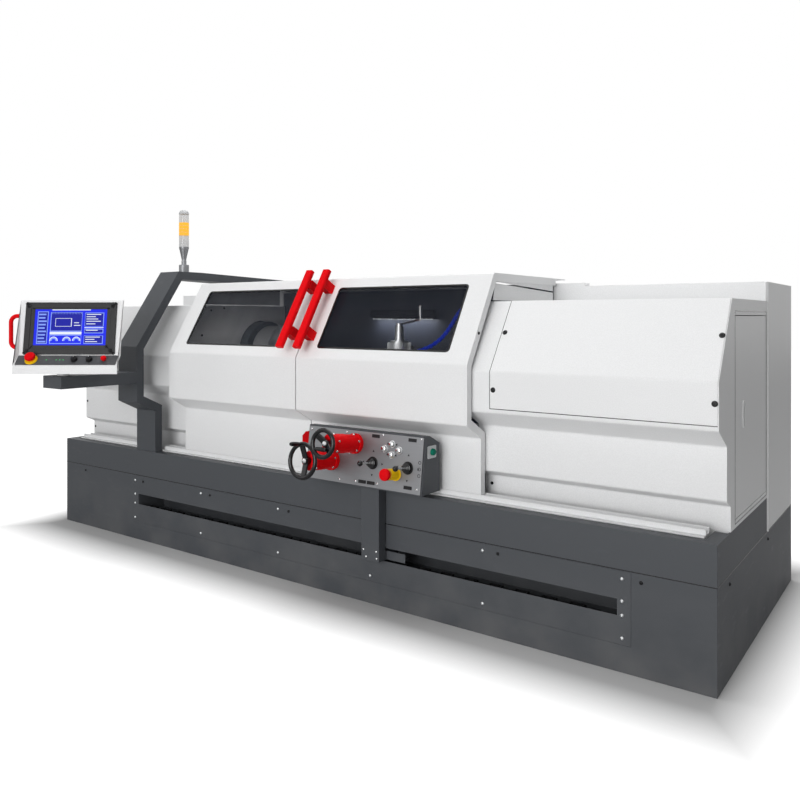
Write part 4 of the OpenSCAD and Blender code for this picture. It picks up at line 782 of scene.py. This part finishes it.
class LATHE_OT_enclosure(bpy.types.Operator):
    """Dresses the end housings, the tail panel, the rear cabinet, its doors and the hood rails"""

    bl_idname = "lathe.make_enclosure"
    bl_label = "Enclosure"

    def execute(self, context):
        s = sizes()
        for node in ("head_housing", "tail_housing", "tail_panel"):
            skin(node, "white", s.sheet_edge, s.sheet_bend, slot="white_paint")
        for node in ("side_door", "cabinet_door", "hood_rails"):
            skin(node, "white", s.sheet_edge, slot="white_paint")
        skin("rear_cabinet", "cabinet", s.sheet_edge, slot="white_paint")
        panel_trim()
        holes = [spot(x, y, z) @ FRONT for x, y, z in ((-1985, -599, 757), (-1985, -541, 585), (1015, -541, 583))]
        holes += [spot(-893, y, z) @ RIGHT for y, z in ((-489, 1350), (-390, 1363), (-557, 1204))]
        dress(stamped(dome_screw(s.screw), holes), "housing_screws", "black", "machine", slot="black_plastic")
        dress(block((15, 15, 1084), 1.0, 2), "cabinet_edge", "white", "machine", slot="white_paint",
              place=spot(1995.5, 132.5, 921) @ turn(45))
        door_trim()
        return {"FINISHED"}


# Hoods

def handle_block():
    """Block under a handle bar."""
    return soften(block((39, 47, 61), 2.4, 3, (0, 0, 30.5)))


def sheet(outline, thick):
    """Flat sheet across the machine, from an outline in (Y, Z)."""
    piece = begin("circle", vertices=len(outline), radius=1, fill_type="NGON")
    work = bmesh.from_edit_mesh(piece.data)
    work.verts.ensure_lookup_table()
    for corner, (y, z) in zip(work.verts, outline):
        corner.co = Vector((0, y, z)) * MM
    bmesh.update_edit_mesh(piece.data)
    bpy.ops.mesh.select_all(action="SELECT")
    draw_out(x=thick)
    return soften(done(piece), 0.5)


def end_sheets(slotted):
    """Sheets that close a hood's end above the fixed housing, with a slot between them or in one piece."""
    if not slotted:
        return sheet([(-498, 1484), (105, 1484), (105, 1385), (-520, 1385)], 2)
    upper = sheet([(-498, 1484), (105, 1484), (105, 1441), (-498, 1468)], 2)
    lower = sheet([(-500, 1461), (105, 1434), (105, 1385), (-520, 1385)], 2)
    return joined(upper, lower)


class LATHE_OT_hoods(bpy.types.Operator):
    """Dresses the two sliding hoods, their windows with seals, and their bar handles"""

    bl_idname = "lathe.make_hoods"
    bl_label = "Hoods"

    def execute(self, context):
        s = sizes()
        for side, middle, bar, end in HOODS:
            body = f"{side}_hood_body"
            skin(f"{side}_hood", "white", s.sheet_edge, s.sheet_bend, slot="white_paint")
            coat("pane", f"{side}_window")
            dress(plate(756, 347, 18, 7, 1.2, s.seal), f"{side}_window_seal", "rubber", body,
                  slot="black_plastic", place=SLOPE @ spot(middle, 228.85, -6))
            skin(f"{side}_handle", "red", 6.0, slot="red_paint")
            feet = stamped(handle_block(), [SLOPE @ spot(bar, v, 0) for v in (119, 389)])
            dress(feet, f"{side}_handle_blocks", "red_block", body, slot="red_paint")
            dress(end_sheets(side == "right"), f"{side}_hood_end", "white", body, slot="white_paint",
                  place=spot(end, 0, 0))
        dress(dome_screw(s.screw), "right_hood_fixing", "black", "right_hood_body", slot="black_plastic",
              place=spot(1018, -664, 1242) @ RIGHT)
        return {"FINISHED"}


# Gantry

class LATHE_OT_gantry(bpy.types.Operator):
    """Dresses the gantry and its signal lamp"""

    bl_idname = "lathe.make_gantry"
    bl_label = "Gantry and signal lamp"

    def execute(self, context):
        skin("gantry", "gantry", 3.0, slot="gantry_paint")
        foot = spun([(29, 0), (30, 1), (30, 45), (28, 48), (15, 48.5), (15, 70), (13.5, 76), (14.5, 84),
                     (20, 110), (26, 138), (29.5, 150), (29.5, 158), (26, 158)], 40)
        dress(foot, "signal_foot", "brushed", "machine", slot="amber_lens", place=SIGNAL)
        tube = spun([(29.4, 158), (29.8, 160), (29.8, 358), (29.0, 360)], 40)
        dress(tube, "signal_tube", "clear", "machine", "stack_light", slot="amber_lens", place=SIGNAL)
        rings = [turned([(26, low), (30.2, low + 1), (30.2, low + 18), (26, low + 19)], 32)
                 for low in (228, 248, 268, 288)]
        dress(soften(joined(*rings)), "signal_glow", "amber", "machine", slot="amber_lens", place=SIGNAL)
        cap = spun([(30, 359), (30, 364), (28, 372), (22, 379), (12, 383), (1, 384)], 40)
        dress(cap, "signal_cap", "grey_plate", "machine", slot="amber_lens", place=SIGNAL)
        return {"FINISHED"}


# Pendant

DISPLAY_SIZE = (384, 208)
FIELDS = ((-174, -88, -119, 84), (-106, -21, 61, 81), (74, 4, 174, 78), (74, -31, 174, -8), (74, -88, 174, -43))
GAUGE_FIELD = (-106, -88, 61, -40)
BARS = ((-100, 90, 103, 101), (-106, -37, 61, -24), (74, -3, 174, 0), (18, 8, 52, 12), (18, 22, 44, 26))
NOTE_LINES = (66, 54, 42, 30, 16, -18, -54, -66, -78)
GAUGES = ((-84, -72), (-16, -72), (35, -72))
FRAME_LINE = 3


def in_box(x0, y0, x1, y1):
    """Test for a cell inside a rectangle of the display."""
    return lambda x, y: x0 <= x <= x1 and y0 <= y <= y1


def in_any(*tests):
    """Test for a cell inside any of several shapes."""
    return lambda x, y: any(test(x, y) for test in tests)


def in_frame(x0, y0, x1, y1):
    """Test for a cell on the outline of a rectangle."""
    outer = in_box(x0, y0, x1, y1)
    inner = in_box(x0 + FRAME_LINE, y0 + FRAME_LINE, x1 - FRAME_LINE, y1 - FRAME_LINE)
    return lambda x, y: outer(x, y) and not inner(x, y)


def in_arc(x0, y0, inner, outer):
    """Test for a cell on the upper half of a ring."""
    return lambda x, y: y >= y0 and inner <= math.hypot(x - x0, y - y0) <= outer


def display_layers():
    """Finish number and cell test of each layer of the display."""
    rows = [in_box(-168, y, -168 + (42, 34, 38)[i % 3], y + 8) for i, y in enumerate(range(-80, 76, 18))]
    ticks = [in_box(x, 70, x + 2, 76) for x in range(-100, 58, 8)]
    notes = [in_box(82, y, 82 + (76, 48, 62)[i % 3], y + 4) for i, y in enumerate(NOTE_LINES)]
    frames = [in_frame(*field) for field in (*FIELDS, GAUGE_FIELD)]
    return ((1, in_any(*[in_box(*field) for field in FIELDS])),
            (2, in_any(*rows, *ticks, *frames, *[in_arc(*at, 11, 22) for at in GAUGES])),
            (3, in_any(*[in_box(*bar) for bar in BARS], in_frame(-80, 4, 6, 49), *notes,
                       *[in_arc(*at, 18, 22) for at in GAUGES])))


def make_display(body, cell):
    """Display of small cells, each with the finish of the layer that covers it."""
    wide, high = DISPLAY_SIZE
    glass = begin("grid", x_subdivisions=int(wide / cell), y_subdivisions=int(high / cell), size=1,
                  scale=(wide * MM, high * MM, 1))
    for name in ("screen_blue", "screen_deep", "screen_pale", "screen_white"):
        glass.data.materials.append(finish(name))
    for number, covers in display_layers():
        pick("FACE", lambda f: covers(f.calc_center_median().x / MM, f.calc_center_median().y / MM))
        glass.active_material_index = number
        bpy.ops.object.material_slot_assign()
    done(glass)
    placed(glass, SCREEN @ spot(0, DISPLAY_UP, 3.6))
    glass.name = "display"
    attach(glass, body)


def taper_shell():
    """Narrows the pendant's shell towards its back, from a line between the lip's foot and the brow."""
    def on_line(v):
        lip = v.co.y < -0.119 and v.co.z < 0.001
        brow = -0.022 < v.co.y < -0.01 and v.co.z > 0.380
        return abs(v.co.x) > 0.26 and (lip or brow)

    pick("VERT", on_line)
    bpy.ops.mesh.vert_connect()
    pick("VERT", lambda v: abs(v.co.x) > 0.26 and v.co.y > 0.04)
    bpy.ops.transform.resize(value=(0.78, 1, 1), center_override=(0, 0, 0))


class LATHE_OT_pendant(bpy.types.Operator):
    """Dresses the control pendant: shell, bezel, display, key ledge, grip and controls"""

    bl_idname = "lathe.make_pendant"
    bl_label = "Pendant"

    def execute(self, context):
        skin("pendant_shell", "white", 4.0, slot="white_paint", place=PENDANT, shape=taper_shell)
        body = "pendant_body"
        dress(plate(478, 276, 12, 8, 2.0, 30), "pendant_bezel", "black", body, "pendant_front",
              slot="dark_paint", place=SCREEN @ spot(0, 143.2, 0))
        dress(plate(420, 232, 8, 5.5, 1.0, 21), "display_rim", "black", body, slot="black_plastic",
              place=SCREEN @ spot(0, DISPLAY_UP, 0))
        make_display(body, sizes().cell)

        dress(plate(520, 65, 5, 4, 1.0), "key_ledge", "key_grey", body, slot="dark_paint",
              place=KEYS @ spot(0, KEY_ROW, 0))
        lights = stamped(turned([(3, 3.5), (3, 5), (2.2, 6), (0.4, 6.4)], 12),
                         [KEYS @ spot(x, 35, 0) for x in (-104, -53, -35, -17)])
        dress(lights, "ledge_lights", "lamp_green", body, slot="dark_paint")
        at = KEYS @ spot(-182, KEY_ROW, 0)
        collar = spun([(32, 3.5), (32, 9), (30, 12), (12, 12.1), (11, 6)], 40)
        dress(collar, "pendant_stop_collar", "yellow", body, slot="dark_paint", place=at)
        stop = spun([(9, -20), (9, 19.5), (21, 19.6), (25, 22), (26.4, 27), (26.4, 32), (24.5, 37.5), (19, 40.5),
                     (10, 41.6), (1, 41.8)], 40)
        dress(stop, "pendant_stop", "red_button", "pendant_estop_body", "pendant_estop", slot="red_plastic",
              place=at)
        push = spun([(9, -20), (9, 11.4), (12, 11.5), (14.2, 15), (14.2, 21), (12.5, 25.5), (8.5, 28), (1, 28.6)],
                    32)
        dress(push, "pendant_push", "red_button", "pendant_button_body", "pendant_button", slot="red_plastic",
              place=KEYS @ spot(195, KEY_ROW, 0))
        for side, u in (("left", 40), ("right", 118)):
            at = KEYS @ spot(u, KEY_ROW, 0)
            holder = f"pendant_knob_{side}_body"
            knob = turned([(9, -18), (9, 4.6), (17, 4.8), (17.2, 6.5), (16.4, 7.5), (15.2, 19), (13.8, 20.8),
                           (1, 21.0)], 28)
            dial = soften(joined(knob, block((5.2, 27, 7), 1.2, 2, (0, 0, 22.6))))
            dress(dial, f"pendant_dial_{side}", "black", holder, f"pendant_knob_{side}", slot="black_plastic",
                  place=at)
            mark = block((1.6, 10, 0.8), 0.25, 2, (0, 7, 26.1))
            dress(mark, f"pendant_dial_mark_{side}", "pale", holder, slot="black_plastic", place=at)
        skin("pendant_grip", "red", 0, slot="red_paint")
        return {"FINISHED"}


# Pod

def wheel(radius, length, spoke, folded):
    """Dished handwheel on a housing of some length: rim, two rising spokes, hub and a grip that may be folded."""
    plane = length + 45
    tube = 10
    rise = 20
    rim = begin("torus", major_radius=(radius - tube) * MM, minor_radius=tube * MM, major_segments=64,
                minor_segments=16, location=(0, 0, plane * MM))
    bpy.ops.mesh.select_all(action="SELECT")
    bpy.ops.transform.resize(value=(1, 1, 0.94), center_override=(0, 0, plane * MM))
    done(rim)
    reach = radius - 22
    run = math.hypot(reach, rise)
    slant = turn(-math.degrees(math.atan2(rise, reach)), "Y")
    arms = []
    for side in (0, 180):
        arm = block((run, 28, 10), 3.5, 3, (run / 2, 0, 0))
        arms.append(placed(arm, spot(0, 0, length + 25) @ turn(spoke + side) @ spot(12, 0, 0) @ slant))
    hub = turned([(12, 20), (12, length + 4), (16, length + 5.2), (17, length + 8), (17, length + 30),
                  (15, length + 34), (11, length + 34.6)], 32)
    neck = 18
    grip = turned([(6, 0), (6, neck), (8.4, neck + 1), (9.6, neck + 14), (10, neck + 34), (9.4, neck + 48),
                   (7, neck + 55), (2, neck + 56)], 24)
    if folded:
        placed(grip, spot(-52.3, -25, plane) @ turn(90, "Y"))
    else:
        placed(grip, turn(spoke) @ spot(radius - tube, 0, plane))
    return soften(joined(rim, *arms, hub, grip))


def wheel_set(body, name, middle, radius, length, spoke, folded, bolt_count):
    """Bolted housing on the pod's face with its handwheel."""
    at = POD @ spot(*middle, 0)
    half = length / 2
    sleeve = spun([(46, 4), (46, 20), (44.5, 22), (41, 22.2), (41, half + 2), (43, half + 4.5), (43, length),
                   (40.5, length + 4), (20, length + 4.2), (18.4, length + 2)], 48)
    stand_in = ("wheel_housings",) if name == "upper" else ()
    dress(sleeve, f"{name}_wheel_housing", "red", body, *stand_in, slot="red_paint", place=at)
    bolts = []
    for ring, out in ((32, 40), (length - 14, 42)):
        for k in range(bolt_count):
            bolts.append(at @ turn(360 / bolt_count * (k + 0.3)) @ spot(out, 0, ring) @ turn(90, "Y"))
    dress(stamped(cap_screw(5.2, 6), bolts), f"{name}_housing_bolts", "chrome", body, slot="bright_steel")
    holder = f"{name}_handwheel_body"
    dress(wheel(radius, length, spoke, folded), f"{name}_wheel", "gloss_black", holder, f"{name}_handwheel",
          slot="black_plastic", place=at)
    cap = spun([(11, length + 33.5), (11, length + 35.5), (9.5, length + 37), (4.5, length + 37.4),
                (4, length + 35.6)], 24)
    dress(cap, f"{name}_wheel_cap", "chrome", holder, slot="black_plastic", place=at)


def side_block(body):
    """Red block on the pod's left side, with its outer top corner cut off."""
    piece = begin("cube", size=1, location=Vector((144, -766, 728.5)) * MM, scale=Vector((42, 60, 73)) * MM)
    pick("EDGE", lambda e: all(v.co.x < 0.13 and v.co.z > 0.76 for v in e.verts))
    bpy.ops.mesh.bevel(offset=22 * MM, segments=1, affect="EDGES")
    dress(soften(done(piece), 2.0), "pod_side_block", "red_block", body, slot="red_paint")


def stick(place, name):
    """Ribbed boot, chrome rod and ball of a stick, measured from its pivot."""
    body = f"{name}_body"
    ribs = [(8, 20), (8.5, 31), (21, 32.2), (22, 33)]
    for i in range(5):
        out = 22 - 3.2 * i
        low = 34 + 6.6 * i
        ribs += [(out, low), (out - 0.4, low + 2.8), (out - 4.8, low + 5), (out - 4.4, low + 5.6)]
    boot = spun([*ribs, (5.2, 67.4)], 32)
    dress(boot, f"{name}_boot", "rubber", body, name, slot="black_plastic", place=place)
    rod = spun([(5, 60), (5, 100), (6.6, 101), (6.6, 104), (5, 105)], 20)
    dress(rod, f"{name}_rod", "chrome", body, slot="chrome", place=place)
    ball = spun([(6, 101.8), (9.2, 104.3), (11.4, 107.6), (12.5, 112), (12.2, 116), (10.4, 120), (7.2, 123.2),
                 (3.4, 125), (0.5, 125.5)], 28)
    dress(ball, f"{name}_ball", "gloss_black", body, slot="black_plastic", place=place)


def arrow_mark():
    """Printed arrow head that points along X."""
    piece = begin("circle", vertices=3, radius=8 * MM, fill_type="NGON")
    bpy.ops.mesh.select_all(action="SELECT")
    bpy.ops.transform.rotate(value=math.radians(90), orient_axis="Z", center_override=(0, 0, 0))
    bpy.ops.transform.resize(value=(0.8, 0.8, 1), center_override=(0, 0, 0))
    draw_out(z=0.4)
    return done(piece)


def face_trim(body):
    """Screws, tags and prints on the pod's face, and the screws of its arm."""
    holes = [(20, 232), (235, 234), (444, 239), (648, 238), (641, 25), (430, 24), (308, 22), (214, 19)]
    screws = stamped(dome_screw(6), [POD @ spot(u, v, POD_SKIN) for u, v in holes])
    dress(screws, "pod_face_screws", "chrome", body, slot="chrome")
    labels = [(403, 231), (602, 231), (345, 24), (394, 24), (594, 28)]
    tags = stamped(plate(43, 15, 2, 1.2, 0.3), [POD @ spot(u, v, POD_SKIN) for u, v in labels])
    dress(tags, "pod_tags", "black", body, slot="black_plastic")
    ways = [POD @ spot(u, v, POD_PRINT) @ turn(90 * k) @ spot(out, 0, 0) for _, u, v, out in STICKS
            for k in range(4)]
    ways += [POD @ spot(*JOG_MIDDLE, POD_PRINT) @ turn(45 + 90 * k) @ spot(33, 0, 0) for k in range(4)]
    prints = stamped(arrow_mark(), ways)
    rings = stamped(plate(15, 15, 7.2, 0.4, 0, 2.4), [POD @ spot(647, v, POD_PRINT) for v in (140, 112, 84)])
    dress(joined(prints, rings), "pod_prints", "black", body, slot="black_plastic")
    fixings = [spot(x, -790, z) @ FRONT for x, z in ARM_SCREWS]
    dress(stamped(dome_screw(5.5), fixings), "pod_arm_screws", "chrome", body, slot="chrome")


class LATHE_OT_pod(bpy.types.Operator):
    """Dresses the handwheel pod: box, face, wheel housings, handwheels, sticks, buttons and arm"""

    bl_idname = "lathe.make_pod"
    bl_label = "Handwheel pod"

    def execute(self, context):
        body = "pod_body"
        skin("pod_box", "dark", 2.5, slot="dark_paint")
        skin("pod_arm", "dark", 2.0, slot="dark_paint")
        skin("pod_face", "brushed", 0.8, slot="bright_steel")
        coat("steel", "joystick_gimbal")
        face_trim(body)
        for row in WHEELS:
            wheel_set(body, *row, sizes().wheel_bolts)
        side_block(body)

        for name, u, v, _ in STICKS:
            stick(POD @ spot(u, v, STICK_PIVOT), name)
            flange = spun([(28, 3.5), (28, 5.4), (26.5, 6.4), (21.5, 6.4), (20.5, 5)], 40)
            dress(flange, f"{name}_flange", "black", body, slot="black_plastic", place=POD @ spot(u, v, 0))
        for name, u, v in JOGS:
            at = POD @ spot(u, v, 0)
            push = spun([(8, -18), (8, 8.4), (12.6, 8.5), (13, 9.2), (13, 14.6), (12, 16.4), (9.5, 17.6),
                         (5.5, 18.3), (0.5, 18.5)], 32)
            dress(push, f"jog_{name}_cap", "chrome", f"jog_{name}_body", f"jog_{name}", slot="chrome", place=at)
            ring = spun([(16.5, 3.5), (16.5, 6), (15.6, 7), (13.6, 7), (13.2, 5)], 32)
            dress(ring, f"jog_{name}_ring", "steel", body, slot="chrome", place=at)
        at = POD @ spot(525, 78, 0)
        collar = spun([(29, 3.5), (29, 7), (26, 8.5), (24.8, 10), (24.8, 62), (23.5, 64.2), (12, 64.4), (11, 60)],
                      40)
        dress(collar, "pod_stop_collar", "yellow", body, slot="red_plastic", place=at)
        stop = spun([(9, -20), (9, 71.6), (20, 71.7), (24.5, 73.5), (26, 77), (26, 86), (24.6, 91), (20, 94.2),
                     (11, 95.4), (1, 95.7)], 40)
        dress(stop, "pod_stop", "red_button", "pod_estop_body", "pod_estop", slot="red_plastic", place=at)

        dress(plate(54, 66, 6, 3, 0.8), "switch_plate", "grey_plate", body, slot="dark_paint", place=SWITCH)
        knob = turned([(9, -20), (9, 3.2), (15, 3.4), (15.2, 5), (14.2, 14), (12.5, 15.6), (1, 15.8)], 28)
        switch = soften(joined(knob, block((5, 24, 4), 1.0, 2, (0, 0, 15))))
        dress(switch, "switch_knob", "green", "pod_switch_body", "pod_switch", slot="green_plastic", place=SWITCH)
        return {"FINISHED"}


# Drive and bed

class LATHE_OT_drive(bpy.types.Operator):
    """Dresses what works inside: bed, headstock, chuck, carriage, toolpost, coolant line and tailstock"""

    bl_idname = "lathe.make_drive"
    bl_label = "Bed and drive"

    def execute(self, context):
        coat("iron", "lathe_bed", "headstock", "main_motor", "saddle", "cross_slide", "tailstock")
        coat("white", "belt_guard")
        coat("turned", "spindle", "chuck", "quill", "leadscrew")
        coat("steel", "toolpost", "jaw_1", "jaw_2", "jaw_3")
        coat("chrome", "clamp_lever")
        coat("black", "tail_wheel", "work_lamp")
        coat("blue", "coolant_hose")
        dress(plate(410, 30, 6, 2.5, 0.3), "work_lamp_diffuser", "diffuser", BODY["work_lamp"],
              slot="black_plastic", place=spot(80, 91, 1298.6))
        return {"FINISHED"}


class LATHE_PT_panel(bpy.types.Panel):
    """Lists the machine's pieces, sizes and colours"""

    bl_idname = "LATHE_PT_panel"
    bl_label = "Turning lathe"
    bl_space_type = "VIEW_3D"
    bl_region_type = "UI"
    bl_category = "Lathe"

    def draw(self, context):
        column = self.layout.column()
        for step in STEPS:
            column.operator(step.bl_idname)
        for group in (context.scene.lathe_sizes, context.scene.lathe_colours):
            for name in group.__annotations__:
                column.prop(group, name)


STEPS = (LATHE_OT_stage, LATHE_OT_base, LATHE_OT_enclosure, LATHE_OT_hoods, LATHE_OT_gantry, LATHE_OT_pendant,
         LATHE_OT_pod, LATHE_OT_drive)
CLASSES = (LatheColours, LatheSizes, *STEPS, LATHE_PT_panel)


def register():
    """Adds the classes and their settings."""
    for item in CLASSES:
        bpy.utils.register_class(item)
    bpy.types.Scene.lathe_colours = PointerProperty(type=LatheColours)
    bpy.types.Scene.lathe_sizes = PointerProperty(type=LatheSizes)


def unregister():
    """Removes the settings and the classes."""
    del bpy.types.Scene.lathe_sizes
    del bpy.types.Scene.lathe_colours
    for item in reversed(CLASSES):
        bpy.utils.unregister_class(item)


def main():
    """Builds every piece in order."""
    register()
    for step in STEPS:
        group, name = step.bl_idname.split(".")
        getattr(getattr(bpy.ops, group), name)()


if __name__ == "__main__":
    main()
